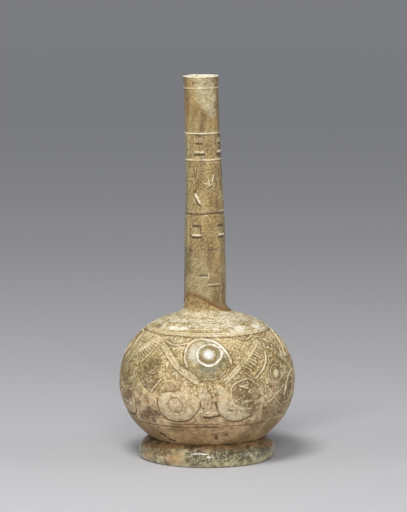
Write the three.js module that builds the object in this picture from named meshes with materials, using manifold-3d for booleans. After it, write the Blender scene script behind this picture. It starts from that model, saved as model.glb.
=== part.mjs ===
// A relief-cut glass bottle: a blown globular bulb with a kicked base, a tall tapering neck that broke
// near its foot and was glued back with a slight lean, and a thick foot ring fused on under the bulb.
// Millimetres, +Z up, the table at z = 0, the front of the bottle facing -Y.
import * as THREE from 'three';
import { mergeVertices } from 'three/addons/utils/BufferGeometryUtils.js';
import Module from 'manifold-3d';

const wasm = await Module();
wasm.setup();

// The bulb. Its outline is two superellipse quarters that meet at the widest ring.
const bulbRadius = 52;
const bulbWall = 3.2;
const bowlDepth = 42.5;
const domeHeight = 43;
const baseClearance = 1.5;
const bowlPower = 1.9;
const domePower = 2.25;

// The kick pushed up into the base, and the scar that the pontil rod left in it.
const kickRadius = 17;
const kickRise = 4.4;
const kickShares = [0, 0.35, 0.7];
const dimpleShares = [0.6, 0];
const pontilRadius = 6.5;
const pontilBore = 3.2;
const pontilThickness = 1.1;

// The neck, from the crown of the bulb to the lip.
const neckLength = 138;
const neckFootRadius = 12.35;
const neckShaftRadius = 10.15;
const neckWall = 2.3;
const neckFootWall = 3;
const neckOffset = 1.2;
const neckLean = THREE.MathUtils.degToRad(0.85);
const taperStartShare = 0.1;
const taperEndShare = 0.72;
const filletRun = 9;
const filletRise = 7.5;
const lipFlare = 0.5;
const lipDepth = 6;
const lipRounding = 0.7;

// Turned relief: ridges left standing round the neck and the shoulder, and a line cut round the bowl.
const ridgeHeight = 0.5;
const ridgeHalfWidth = 0.75;
const neckRidgeShares = [0.429, 0.646, 0.761, 0.95];
const shoulderRidgeShares = [0.775, 0.825];
const bowlLineShare = 0.42;
const bowlLineDepth = 0.4;

// Cut relief. The ground between the lines of the pattern is worn down, and the lines keep the blown
// surface. A place on the wall is [turn, climb]: degrees round from the front, and millimetres climbed
// along the outline. Four faces repeat the pattern, mirrored in turn.
const climbAtWidest = 43;
const reliefStart = 25;
const reliefEnd = 80.9;
const reliefEdge = 1.6;
const reliefDepth = 0.5;
const reliefReach = 2;
const reliefRoot = 4;
const reliefGrain = 0.04;
const faceTurns = [0, 90, 180, 270];
const medallionPlace = [0, 66.3];
const medallionRadius = 13;
const heartPlace = [2, 68];
const heartRadius = 7.3;
const bossRadius = 4.4;
const bossTop = 0.5;
const bossFoot = 0.35;
const bossRoot = 1.2;
const bossShares = [1, 0.6];
const smoothDiscPlace = [-20.4, 37.2];
const smoothDiscRadius = 12.4;
const smoothDiscSquash = 0.73;
const roughDiscPlace = [22, 40.5];
const roughDiscRadius = 12.4;
const lineWidth = 0.9;
const bandWidth = 3.2;
const leftBand = [[-49.9, 78.2], [-31.9, 69.9], [-19.3, 59.2], [-7.4, 52.3]];
const rightBand = [[11, 50.5], [26.6, 62.1], [36.9, 70], [49.7, 78.3]];

// The foot ring, fused round the underside of the bulb. Its edge stands higher on the right.
const footHeight = 12.3;
const footFlare = 6.7;
const footEdgeHeight = 4;
const footEdgeLift = 1.5;
const standInset = 2.4;
const standWidth = 6.6;
const seatReach = 7.4;
const footPower = 1.6;
const toePower = 2;
const fuseGap = 0.3;

// The mended break: a wavy surface through the foot of the neck, filled with a film of resin.
const breakAboveCrown = 3.4;
const breakTiltHeight = 4.6;
const breakSwellHeight = 2.2;
const breakCrest = THREE.MathUtils.degToRad(-38);
const mendThickness = 0.6;
const mendGap = 0.2;
const stubOverrun = 14;

// How finely the round shapes are faceted.
const bulbSegments = 44;
const neckSegments = 32;
const pontilSegments = 20;
const quarterSteps = 10;
const liningSteps = 6;
const filletSteps = 5;
const shaftSteps = 11;
const boreSteps = 4;
const toeSteps = 4;
const seatSteps = 5;
const reliefSteps = 8;
const ringSegments = 14;
const bossSegments = 10;
const outlineSteps = 60;

const widestHeight = baseClearance + bowlDepth;
const crownHeight = widestHeight + domeHeight;
const rimHeight = crownHeight + neckLength;
const breakHeight = crownHeight + breakAboveCrown;

const weatheredGlass = new THREE.MeshStandardMaterial({ color: 0xb59f74, roughness: 0.55, metalness: 0 });
const neckGlass = new THREE.MeshStandardMaterial({ color: 0xa8905f, roughness: 0.5, metalness: 0 });
const footGlass = new THREE.MeshStandardMaterial({ color: 0xa3a084, roughness: 0.45, metalness: 0 });
const resin = new THREE.MeshStandardMaterial({ color: 0x7a5527, roughness: 0.6, metalness: 0 });

// How far across a superellipse quarter reaches at a share of its height.
function reachAt(share, power) {
  return Math.pow(Math.max(0, 1 - Math.pow(share, power)), 1 / power);
}

// Points of a superellipse quarter about (axisGap, baseZ), from one angle to another. A negative height
// hangs the quarter below its base.
function quarter(axisGap, baseZ, radius, height, power, fromAngle, toAngle, steps) {
  return Array.from({ length: steps + 1 }, (_, i) => {
    const angle = THREE.MathUtils.lerp(fromAngle, toAngle, i / steps);
    const across = Math.pow(Math.cos(angle), 2 / power);
    const up = Math.pow(Math.sin(angle), 2 / power);
    return new THREE.Vector2(axisGap + radius * across, baseZ + height * up);
  });
}

// The angle at which a quarter of this radius has come in to a given distance from the axis.
function angleAtReach(reach, radius, power) {
  return Math.acos(Math.pow(reach / radius, power / 2));
}

function angleAtHeight(rise, height, power) {
  return Math.asin(Math.pow(rise / height, power / 2));
}

// Radius of the bowl's outline at a height above the table, on a skin that lies this far outside it.
function bowlRadiusAt(z, skin = 0) {
  return (bulbRadius + skin) * reachAt((widestHeight - z) / (bowlDepth + skin), bowlPower);
}

function domeHeightAt(radius, wall = 0) {
  return widestHeight + (domeHeight - wall) * reachAt(radius / (bulbRadius - wall), domePower);
}

// The neck tapers along a smooth step between its foot and its shaft, and flares again at the lip.
function neckRadiusAt(z) {
  const share = (z - crownHeight) / neckLength;
  const taper = THREE.MathUtils.smoothstep(share, taperStartShare, taperEndShare);
  const flare = THREE.MathUtils.smoothstep(z, rimHeight - lipDepth, rimHeight);
  return THREE.MathUtils.lerp(neckFootRadius, neckShaftRadius, taper) + lipFlare * flare;
}

function boreRadiusAt(z) {
  const share = (z - crownHeight) / neckLength;
  const taper = THREE.MathUtils.smoothstep(share, taperStartShare, taperEndShare);
  return THREE.MathUtils.lerp(neckFootRadius - neckFootWall, neckShaftRadius - neckWall, taper);
}

// The fillet that carries the dome's outline up into the neck's, tangent to both.
function fillet(neckRadius, wall, run, rise) {
  const start = neckRadius + run;
  const startZ = domeHeightAt(start, wall);
  const slope = (domeHeightAt(neckRadius, wall) - startZ) / run;
  const curve = new THREE.QuadraticBezierCurve(
    new THREE.Vector2(start, startZ),
    new THREE.Vector2(neckRadius, startZ + slope * run),
    new THREE.Vector2(neckRadius, startZ + rise),
  );
  return curve.getPoints(filletSteps);
}

// Swells an outline by a ridge, or cuts a line into it, at each height given: three points a ridge.
function relieved(outline, heights, height) {
  const marked = [...outline];
  for (const z of heights) {
    const next = marked.findIndex((point, i) => i > 0 && point.y >= z && marked[i - 1].y < z);
    const [below, above] = [marked[next - 1], marked[next]];
    const along = new THREE.Vector2().subVectors(above, below).normalize();
    const outward = new THREE.Vector2(along.y, -along.x);
    const middle = new THREE.Vector2().lerpVectors(below, above, (z - below.y) / (above.y - below.y));
    const foot = middle.clone().addScaledVector(along, -ridgeHalfWidth);
    const top = middle.clone().addScaledVector(outward, height);
    const head = middle.clone().addScaledVector(along, ridgeHalfWidth);
    const clear = (point) => point.distanceTo(middle) > 2 * ridgeHalfWidth;
    marked.splice(0, marked.length, ...marked.slice(0, next).filter(clear), foot, top, head,
      ...marked.slice(next).filter(clear));
  }
  return marked;
}

function turned(outline, segments) {
  return new THREE.LatheGeometry(outline, segments).rotateX(Math.PI / 2);
}

// Sets the neck off the bulb's axis and leans it to the left, easing in through the fillet.
function leaned(geometry) {
  const place = geometry.getAttribute('position');
  for (let i = 0; i < place.count; i += 1) {
    const [x, up] = [place.getX(i), place.getZ(i) - crownHeight];
    const share = THREE.MathUtils.smoothstep(up, -filletRun, filletRise);
    const [sine, cosine] = [Math.sin(neckLean * share), Math.cos(neckLean * share)];
    place.setX(i, x * cosine - up * sine - neckOffset * share);
    place.setZ(i, crownHeight + x * sine + up * cosine);
  }
  return geometry;
}

function solidOf(geometry) {
  const bare = geometry.clone();
  bare.deleteAttribute('normal');
  bare.deleteAttribute('uv');
  const merged = mergeVertices(bare);
  return new wasm.Manifold(new wasm.Mesh({
    numProp: 3,
    vertProperties: merged.getAttribute('position').array,
    triVerts: new Uint32Array(merged.index.array),
  }));
}

function geometryOf(solid) {
  const mesh = solid.getMesh();
  const made = new THREE.BufferGeometry();
  made.setAttribute('position', new THREE.BufferAttribute(mesh.vertProperties, mesh.numProp));
  made.setIndex(new THREE.BufferAttribute(mesh.triVerts, 1));
  made.computeVertexNormals();
  return made;
}

// Everything over the broken surface, which is raised or lowered by the offset. The surface is a tilted
// plane with a saddle's swell, so the break climbs and dips as it goes round the neck. Outside the neck it
// runs level, which takes it out through the fillet.
function aboveBreak(offset) {
  const cutRadius = neckFootRadius + filletRun;
  const floor = breakHeight + offset;
  const block = turned([
    new THREE.Vector2(0, floor),
    new THREE.Vector2(neckFootRadius, floor),
    new THREE.Vector2(cutRadius, floor),
    new THREE.Vector2(cutRadius, rimHeight + stubOverrun),
    new THREE.Vector2(0, rimHeight + stubOverrun),
  ], neckSegments);
  const place = block.getAttribute('position');
  for (let i = 0; i < place.count; i += 1) {
    if (place.getZ(i) > rimHeight) continue;
    const reach = Math.min(1, Math.hypot(place.getX(i), place.getY(i)) / neckFootRadius);
    const turn = Math.atan2(place.getX(i), -place.getY(i)) - breakCrest;
    const wave = breakTiltHeight * Math.cos(turn) + breakSwellHeight * Math.cos(2 * turn);
    place.setZ(i, floor + reach * wave);
  }
  return solidOf(block.translate(-neckOffset, 0, 0));
}

// Evenly spaced heights up the neck, without the one that it starts from.
function heightsUp(fromZ, toZ, steps) {
  return Array.from({ length: steps }, (_, i) => THREE.MathUtils.lerp(fromZ, toZ, (i + 1) / steps));
}

// A height in the kick, which is a shallow parabola with its foot at kickRadius.
function kickLift(share) {
  return kickRise * (1 - share * share);
}

// The place on the blown outline at a climb, and the way out of the wall there.
function wallAt(climb) {
  const [height, power] = climb < climbAtWidest ? [-bowlDepth, bowlPower] : [domeHeight, domePower];
  const line = quarter(0, widestHeight, bulbRadius, height, power, 0, Math.PI / 2, outlineSteps);
  let left = Math.abs(climb - climbAtWidest);
  let i = 0;
  while (line[i].distanceTo(line[i + 1]) < left) {
    left -= line[i].distanceTo(line[i + 1]);
    i += 1;
  }
  const along = new THREE.Vector2().subVectors(line[i + 1], line[i]).normalize();
  const place = line[i].clone().addScaledVector(along, left);
  return { place, outward: new THREE.Vector2(Math.abs(along.y), -along.x * Math.sign(along.y)) };
}

// The axes at a place on the wall: along the turn, up the outline and out of the wall.
function seatAt([turn, climb]) {
  const angle = THREE.MathUtils.degToRad(turn);
  const { place, outward } = wallAt(climb);
  const across = new THREE.Vector3(Math.cos(angle), Math.sin(angle), 0);
  const out = new THREE.Vector3(outward.x * Math.sin(angle), -outward.x * Math.cos(angle), outward.y);
  const up = new THREE.Vector3().crossVectors(out, across);
  const position = new THREE.Vector3(place.x * Math.sin(angle), -place.x * Math.cos(angle), place.y);
  return new THREE.Matrix4().makeBasis(across, up, out).setPosition(position);
}

// A pattern's place moved to its face, mirrored where side is -1.
function shifted([turn, climb], face, side) {
  return [face + side * turn, climb];
}

// A plug through the wall: a round plate, or a ring where the bore isn't 0.
function plug(place, radius, bore = 0, squash = 1) {
  const outline = [
    new THREE.Vector2(bore, -reliefRoot),
    new THREE.Vector2(radius, -reliefRoot),
    new THREE.Vector2(radius, reliefReach),
    new THREE.Vector2(bore, reliefReach),
  ];
  const closing = bore > 0 ? [outline[0]] : [];
  const upright = turned([...outline, ...closing], ringSegments).scale(1, squash, 1);
  return solidOf(upright.applyMatrix4(seatAt(place)));
}

function ringPlug(place, radius) {
  return plug(place, radius + lineWidth / 2, radius - lineWidth / 2);
}

// A low dome that stands on the wall, rooted a little way into it.
function boss(place) {
  const outline = [
    new THREE.Vector2(0, -bossRoot),
    new THREE.Vector2(bossRadius, -bossRoot),
    ...bossShares.map((share) => new THREE.Vector2(
      bossRadius * share, THREE.MathUtils.lerp(bossTop, -bossFoot, share * share))),
    new THREE.Vector2(0, bossTop),
  ];
  return solidOf(turned(outline, bossSegments).applyMatrix4(seatAt(place)));
}

// Bars through the wall, from each place to the next. Each is a band's pair of lines in one.
function bars(places) {
  const seats = places.map(seatAt);
  return seats.slice(1).map((seat, i) => {
    const [from, to] = [seats[i], seat].map((axes) => new THREE.Vector3().setFromMatrixPosition(axes));
    const along = new THREE.Vector3().subVectors(to, from);
    const length = along.length() + bandWidth;
    const out = new THREE.Vector3();
    [seats[i], seat].forEach((axes) => out.add(new THREE.Vector3().setFromMatrixColumn(axes, 2)));
    const across = new THREE.Vector3().crossVectors(out, along).normalize();
    along.normalize();
    const facing = new THREE.Vector3().crossVectors(along, across);
    const axes = new THREE.Matrix4().makeBasis(along, across, facing);
    const bar = new THREE.BoxGeometry(length, bandWidth, 2 * reliefReach).applyMatrix4(axes);
    const middle = from.lerp(to, 1 / 2);
    return solidOf(bar.translate(middle.x, middle.y, middle.z));
  });
}

// What the wheel leaves standing on one face: a medallion between two bands, and a pair of discs.
function faceLines(face, side) {
  const at = (place) => shifted(place, face, side);
  return [
    ringPlug(at(medallionPlace), medallionRadius),
    plug(at(heartPlace), heartRadius),
    plug(at(smoothDiscPlace), smoothDiscRadius, 0, smoothDiscSquash),
    ringPlug(at(roughDiscPlace), roughDiscRadius),
    ...bars(leftBand.map(at)),
    ...bars(rightBand.map(at)),
  ];
}

// The skin that is worn away round the bulb: a belt as deep as the relief, with sloping edges, less the
// pattern's lines.
function wornSkin() {
  const climbs = [reliefStart, ...heightsUp(reliefStart + reliefEdge, reliefEnd - reliefEdge, reliefSteps),
    reliefEnd];
  const belt = climbs.map((climb, i) => {
    const { place, outward } = wallAt(climb);
    const end = i === 0 || i === climbs.length - 1;
    return place.addScaledVector(outward, end ? reliefDepth : -reliefDepth);
  });
  const cover = climbs.map((climb) => {
    const { place, outward } = wallAt(climb);
    return place.addScaledVector(outward, reliefReach);
  });
  const loop = [...cover, ...belt.reverse()];
  const skin = solidOf(turned([...loop, loop[0]], bulbSegments));
  const lines = faceTurns.flatMap((face, i) => faceLines(face, i % 2 ? -1 : 1));
  return skin.subtract(wasm.Manifold.union(lines));
}

// The blown bulb with the stub of neck that stayed on it. The outline runs from the kick round the
// outside to the top of the stub, and back down the inside to the floor.
function bulbGeometry() {
  const kickFootZ = widestHeight - bowlDepth * reachAt(kickRadius / bulbRadius, bowlPower);
  const stubTop = crownHeight + stubOverrun;
  const kick = kickShares.map((share) => new THREE.Vector2(kickRadius * share, kickFootZ + kickLift(share)));
  const bowl = quarter(0, widestHeight, bulbRadius, -bowlDepth, bowlPower,
    angleAtReach(kickRadius, bulbRadius, bowlPower), 0, quarterSteps);
  const domeEnd = angleAtReach(neckFootRadius + filletRun, bulbRadius, domePower);
  const dome = quarter(0, widestHeight, bulbRadius, domeHeight, domePower, 0, domeEnd, quarterSteps);
  const neckFillet = fillet(neckFootRadius, 0, filletRun, filletRise);
  const stub = [new THREE.Vector2(neckRadiusAt(stubTop), stubTop)];

  const boreRadius = neckFootRadius - neckFootWall;
  const innerRadius = bulbRadius - bulbWall;
  const lining = [
    new THREE.Vector2(boreRadiusAt(stubTop), stubTop),
    ...fillet(boreRadius, bulbWall, filletRun, filletRise).reverse(),
    ...quarter(0, widestHeight, innerRadius, domeHeight - bulbWall, domePower,
      angleAtReach(boreRadius + filletRun, innerRadius, domePower), 0, liningSteps).slice(1),
    ...quarter(0, widestHeight, innerRadius, bulbWall - bowlDepth, bowlPower,
      0, angleAtReach(kickRadius, innerRadius, bowlPower), liningSteps).slice(1),
  ];
  const innerFloor = lining[lining.length - 1].y;
  const dimple = dimpleShares.map(
    (share) => new THREE.Vector2(kickRadius * share, innerFloor + kickLift(share)));

  const outside = relieved(
    relieved([...kick, ...bowl, ...dome.slice(1), ...neckFillet.slice(1), ...stub],
      shoulderRidgeShares.map((share) => widestHeight + domeHeight * share), ridgeHeight),
    [widestHeight - bowlDepth * bowlLineShare], -bowlLineDepth);
  const blank = solidOf(leaned(turned([...outside, ...lining, ...dimple], bulbSegments)));
  const open = blank.subtract(aboveBreak(-mendThickness / 2 - mendGap));
  const bosses = faceTurns.map((face, i) => boss(shifted(heartPlace, face, i % 2 ? -1 : 1)));
  return geometryOf(open.subtract(wornSkin()).add(wasm.Manifold.union(bosses)).simplify(reliefGrain));
}

// The neck blank reaches down past the break, with the same outlines as the bulb's stub.
function neckBlank() {
  const outerFillet = fillet(neckFootRadius, 0, filletRun, filletRise);
  const innerFillet = fillet(neckFootRadius - neckFootWall, bulbWall, filletRun, filletRise);
  const shaftFoot = outerFillet[outerFillet.length - 1].y;
  const lipFoot = rimHeight - lipRounding;
  const shaft = heightsUp(shaftFoot, lipFoot, shaftSteps).map((z) => new THREE.Vector2(neckRadiusAt(z), z));
  const lip = [
    new THREE.Vector2(neckRadiusAt(rimHeight) - lipRounding, rimHeight),
    new THREE.Vector2(boreRadiusAt(rimHeight) + lipRounding, rimHeight),
    new THREE.Vector2(boreRadiusAt(rimHeight), lipFoot),
  ];
  const boreFoot = innerFillet[innerFillet.length - 1].y;
  const bore = heightsUp(boreFoot, lipFoot, boreSteps).reverse().slice(1)
    .map((z) => new THREE.Vector2(boreRadiusAt(z), z));
  const outside = relieved([...outerFillet, ...shaft],
    neckRidgeShares.map((share) => crownHeight + neckLength * share), ridgeHeight);
  const outline = [...outside, ...lip, ...bore, ...innerFillet.reverse()];
  return solidOf(leaned(turned([...outline, outline[0]], neckSegments)));
}

function neckGeometry() {
  return geometryOf(neckBlank().intersect(aboveBreak(mendThickness / 2 + mendGap)));
}

function mendGeometry() {
  const over = neckBlank().intersect(aboveBreak(-mendThickness / 2));
  return geometryOf(over.subtract(aboveBreak(mendThickness / 2)));
}

// The foot ring: a rounded flange whose upper side hugs the bowl, hollow in the middle so that the bottle
// stands on a flat ring.
function footGeometry() {
  const notchRadius = bowlRadiusAt(footHeight, fuseGap);
  const footRadius = notchRadius + footFlare;
  const standRadius = footRadius - standInset;
  const edge = quarter(notchRadius, footEdgeHeight, footFlare, footHeight - footEdgeHeight, footPower,
    0, Math.PI / 2, liningSteps);
  const toe = quarter(standRadius, footEdgeHeight, standInset, -footEdgeHeight, toePower,
    Math.PI / 2, 0, toeSteps);
  const seatRadius = bulbRadius + fuseGap;
  const seatDepth = bowlDepth + fuseGap;
  const seat = quarter(0, widestHeight, seatRadius, -seatDepth, bowlPower,
    angleAtHeight(widestHeight - footHeight, seatDepth, bowlPower),
    angleAtReach(notchRadius - seatReach, seatRadius, bowlPower), seatSteps);
  const outline = [
    new THREE.Vector2(standRadius - standWidth, 0),
    ...toe,
    ...edge.slice(1, -1),
    ...seat,
  ];
  const ring = turned([...outline, outline[0]], bulbSegments);
  const place = ring.getAttribute('position');
  for (let i = 0; i < place.count; i += 1) {
    const radius = Math.hypot(place.getX(i), place.getY(i));
    const right = (1 + place.getX(i) / radius) / 2;
    const outer = THREE.MathUtils.smoothstep(radius, standRadius, footRadius);
    place.setZ(i, place.getZ(i) + footEdgeLift * right * outer);
  }
  return geometryOf(solidOf(ring));
}

// The rough ring of glass that broke off the pontil rod and stayed in the kick.
function pontilGeometry() {
  const kickFootZ = widestHeight - bowlDepth * reachAt(kickRadius / bulbRadius, bowlPower);
  const under = (radius, drop) => new THREE.Vector2(radius,
    kickFootZ + kickLift(radius / kickRadius) - fuseGap - drop);
  const shoulder = pontilThickness / 2;
  const outline = [
    under(pontilBore, 0),
    under(pontilBore + shoulder, pontilThickness),
    under(pontilRadius - shoulder, pontilThickness),
    under(pontilRadius, 0),
    under((pontilRadius + pontilBore) / 2, 0),
  ];
  return geometryOf(solidOf(turned([...outline, outline[0]], pontilSegments)));
}

function piece(name, geometry, material) {
  const mesh = new THREE.Mesh(geometry, material);
  mesh.name = name;
  return mesh;
}

const bottle = new THREE.Group();
bottle.name = 'relief_cut_bottle';

const body = new THREE.Group();
body.add(piece('bulb', bulbGeometry(), weatheredGlass));
body.add(piece('foot_ring', footGeometry(), footGlass));
body.add(piece('pontil_scar', pontilGeometry(), footGlass));

const mendedNeck = new THREE.Group();
mendedNeck.add(piece('neck', neckGeometry(), neckGlass));
mendedNeck.add(piece('mend_resin', mendGeometry(), resin));

bottle.add(body, mendedNeck);

export default bottle;
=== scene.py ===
# %% [markdown]
# # A relief-cut glass bottle
# The real bottle was blown as one bubble: a round bulb with a tall neck. When it was cold, a cutter ground
# the surface away so that rings, bands and bars were left standing, and a thick ring of hot glass had
# already been fused on as a foot. Centuries in the ground gave it a tan crust, pits and pale blooms, and
# its neck broke off and was glued back with brown resin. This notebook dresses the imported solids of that
# bottle: each piece is a surface worked out with numpy, with its relief in the mesh and its weathering in
# procedural materials.

# %% Load the frame
import bpy
import bmesh
import math
import numpy as np
from types import SimpleNamespace
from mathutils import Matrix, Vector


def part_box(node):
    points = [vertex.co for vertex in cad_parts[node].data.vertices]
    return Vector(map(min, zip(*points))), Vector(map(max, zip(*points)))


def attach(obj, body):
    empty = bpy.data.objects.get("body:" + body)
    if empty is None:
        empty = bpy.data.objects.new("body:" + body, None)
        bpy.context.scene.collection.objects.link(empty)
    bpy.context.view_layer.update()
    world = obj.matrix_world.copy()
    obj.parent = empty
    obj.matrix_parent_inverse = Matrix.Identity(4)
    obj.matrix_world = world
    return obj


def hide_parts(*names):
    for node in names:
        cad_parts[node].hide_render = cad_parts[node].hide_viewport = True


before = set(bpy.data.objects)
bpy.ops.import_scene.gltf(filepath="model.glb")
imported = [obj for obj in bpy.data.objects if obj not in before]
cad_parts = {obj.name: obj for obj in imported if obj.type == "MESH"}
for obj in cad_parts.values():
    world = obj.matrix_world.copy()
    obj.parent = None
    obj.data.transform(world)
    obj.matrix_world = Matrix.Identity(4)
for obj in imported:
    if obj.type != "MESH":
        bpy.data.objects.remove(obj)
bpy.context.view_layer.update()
MM = 0.001

# %% [markdown]
# ## Sizes
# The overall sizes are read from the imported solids, so that the dressed pieces stay where the solids are.
# The rest are the sizes a glassworker would quote. Inside this notebook the sizes are in millimetres, and
# they turn into metres when a mesh is made.

# %% Sizes of the bottle in millimetres
def box_mm(node):
    """Lowest and highest corner of a node, in millimetres."""
    low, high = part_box(node)
    return np.array(low) / MM, np.array(high) / MM


bulb_low, bulb_high = box_mm("bulb")
foot_height = float(box_mm("foot_ring")[1][2])
scar_low, scar_high = box_mm("pontil_scar")

bulb_radius, bulb_wall = 52.0, 3.2
bowl_depth, bowl_power = 42.5, 1.9
dome_height, dome_power = 43.0, 2.25
widest_height = 44.0
crown_height = widest_height + dome_height
kick_radius, kick_rise = 17.0, 4.4

neck_length = 138.0
rim_height = crown_height + neck_length
neck_foot_radius, neck_shaft_radius = 12.35, 10.15
neck_wall, neck_foot_wall = 2.3, 3.0
neck_offset, neck_lean, neck_bow = 1.2, math.radians(0.85), 0.6
fillet_run, fillet_rise = 9.0, 7.5
lip_depth, lip_flare, lip_rounding = 6.0, 0.5, 0.7

break_height = crown_height + 3.4
break_tilt, break_swell, break_crest = 4.6, 2.2, -38.0
break_half = 0.32
worn_radius = (bulb_high[0] - bulb_low[0]) / 2
print("radius %.1f mm blown, %.1f mm worn; rim at %.1f mm" % (bulb_radius, worn_radius, rim_height))

# %% [markdown]
# ## Soft edges
# Nothing on worn glass has a hard edge. Nearly every mask in this notebook is a soft step between 0 and 1,
# and nearly every change of shape or colour is a blend by such a mask.

# %% Soft steps
def smoothstep(low, high, value):
    """0 below low, 1 above high, and an S-shaped rise between them: t * t * (3 - 2 t)."""
    share = np.clip((value - low) / (high - low), 0, 1)
    return share * share * (3 - 2 * share)


def mixed(first, second, share):
    """The first value where share is 0, the second where it is 1: first + (second - first) * share."""
    return first + (second - first) * share


# %% [markdown]
# ## Outlines
# A blown vessel is round, so its shape is one outline carried round the axis. The bulb's outline is two
# quarters of a superellipse, which is a circle whose power has been changed: a power over 2 is squarer, as
# the shoulder here is. A parabola leads from the dome into the neck, as soft glass does where it is drawn
# out. A curve with a Screw modifier would do for a plain vase, but a formula also gives the slope and the
# length along it, which the cutting needs.

# %% The outline's curves
def quarter(radius, height, power, start, end, count):
    """A superellipse quarter: radius * cos(a)^(2/p) across and height * sin(a)^(2/p) up, from angle start
    to end."""
    angle = np.linspace(start, end, count)
    across = radius * np.clip(np.cos(angle), 0, 1) ** (2 / power)
    up = height * np.clip(np.sin(angle), 0, 1) ** (2 / power)
    return across, widest_height + up


def angle_at(reach, radius, power):
    """The angle at which a quarter of this radius has come in to a distance from the axis."""
    return math.acos((reach / radius) ** (power / 2))


def dome_at(reach, wall):
    """Height of the dome, or of its inside when wall isn't 0, at a distance from the axis."""
    share = (reach / (bulb_radius - wall)) ** dome_power
    return widest_height + (dome_height - wall) * (1 - share) ** (1 / dome_power)


def fillet(foot_radius, wall, count=40):
    """The curve from the dome up into the neck: a parabola whose ends lie along both."""
    start, start_up = foot_radius + fillet_run, dome_at(foot_radius + fillet_run, wall)
    bend_up = dome_at(foot_radius, wall)
    share = np.linspace(0, 1, count)
    across = (1 - share) ** 2 * start + (1 - (1 - share) ** 2) * foot_radius
    up = ((1 - share) ** 2 * start_up + 2 * share * (1 - share) * bend_up
          + share ** 2 * (start_up + fillet_rise))
    return across, up


# %% [markdown]
# ## Measuring along the wall
# The cutter measured along the glass and not up a ruler. So the outline is stored as a dense line of points
# with the distance climbed along it, and anything cut into the wall is placed by its climb and by its turn
# round the axis.

# %% The outline
class Outline:
    """An outline that is looked up by the distance climbed along it. Its outward direction is its own
    direction turned a quarter to the right."""

    def __init__(self, radius, height):
        """The climb adds up the steps' lengths. The direction is the change of radius and height with it."""
        self.radius, self.height = np.asarray(radius), np.asarray(height)
        step = np.hypot(np.diff(self.radius), np.diff(self.height))
        self.climb = np.concatenate(([0], np.cumsum(step)))
        run, rise = np.gradient(self.radius, self.climb), np.gradient(self.height, self.climb)
        length = np.hypot(run, rise)
        self.out, self.up = rise / length, -run / length

    def start_from(self, height, climb):
        """Renumbers the climb so that it has the given value where the outline passes a height."""
        first = int(np.argmax(self.height >= height))
        self.climb += climb - self.climb[first]

    def at(self, climb):
        """Radius, height and outward direction at each climb."""
        looked_up = (self.radius, self.height, self.out, self.up)
        return [np.interp(climb, self.climb, values) for values in looked_up]

    def climb_at(self, height, above):
        """The climb at each height, on the part of the outline that lies above a height."""
        kept = self.height >= above
        return np.interp(height, self.height[kept], self.climb[kept])


# %% The neck's radii
def neck_radius_at(height):
    """The neck's outside: its foot's radius eased into its shaft's, plus a small flare at the lip."""
    share = (height - crown_height) / neck_length
    flare = lip_flare * smoothstep(rim_height - lip_depth, rim_height, height)
    return mixed(neck_foot_radius, neck_shaft_radius, smoothstep(0.1, 0.72, share)) + flare


def bore_radius_at(height):
    """The neck's inside, eased in the same way a wall's thickness further in."""
    share = (height - crown_height) / neck_length
    foot, shaft = neck_foot_radius - neck_foot_wall, neck_shaft_radius - neck_wall
    return mixed(foot, shaft, smoothstep(0.1, 0.72, share))


# %% The bulb's and neck's outlines
climb_at_widest = 43.0
kick_foot = float(bulb_low[2])
kick_reach = np.linspace(0, kick_radius, 12)
kick_up = kick_foot + kick_rise * (1 - (kick_reach / kick_radius) ** 2)
bowl = quarter(bulb_radius, -bowl_depth, bowl_power, angle_at(kick_radius, bulb_radius, bowl_power), 0, 200)
dome_end = angle_at(neck_foot_radius + fillet_run, bulb_radius, dome_power)
dome = quarter(bulb_radius, dome_height, dome_power, 0, dome_end, 200)
neck_fillet = fillet(neck_foot_radius, 0)
shaft_up = np.linspace(neck_fillet[1][-1], rim_height, 300)[1:]
wall_outline = Outline(
    np.concatenate((kick_reach, bowl[0][1:], dome[0][1:], neck_fillet[0][1:], neck_radius_at(shaft_up))),
    np.concatenate((kick_up, bowl[1][1:], dome[1][1:], neck_fillet[1][1:], shaft_up)),
)
wall_outline.start_from(widest_height, climb_at_widest)
print("climb at the crown: %.1f mm" % wall_outline.climb_at(crown_height, widest_height))

# %% [markdown]
# ## Carrying an outline round the axis
# A grid of points has one row for each step along the outline and one column for each step round the axis.
# The front of the bottle faces -Y, so a turn of 0 degrees is the front and turns grow to the right. The
# neck was glued back a little off the axis and leaning left, and that small bend is applied last, to every
# piece alike, so that they still fit each other.

# %% Turning and leaning
def leaned(place):
    """Shifts and turns what lies above the shoulder, as the mended neck does, easing in through the fillet.
    The neck also bows to the right by a little: half a sine wave that ends at four fifths of its height."""
    x, y, z = place[..., 0], place[..., 1], place[..., 2] - crown_height
    share = smoothstep(-fillet_run, fillet_rise, z)
    sine, cosine = np.sin(neck_lean * share), np.cos(neck_lean * share)
    bow = neck_bow * np.sin(math.pi * np.maximum(z, 0) / (0.8 * neck_length))
    bent = (x * cosine - z * sine - neck_offset * share + bow, y, crown_height + x * sine + z * cosine)
    return np.stack(bent, axis=-1)


def carried(radius, height, turn):
    """Points at a radius and height, turned round the axis by a number of degrees from the front: the radius
    times the sine to the right, and times the cosine to the front."""
    angle = np.radians(turn)
    radius, height, angle = np.broadcast_arrays(radius, height, angle)
    return np.stack((radius * np.sin(angle), -radius * np.cos(angle), height), axis=-1)


# %% [markdown]
# ## From grids to meshes
# Blender's mesh takes whole arrays: the corners' places, and four corner numbers for each face. The numbers
# come from shifting a grid of counted corners by one row and one column. Adding the faces one at a time
# would make the same mesh, but much more slowly.

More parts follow.
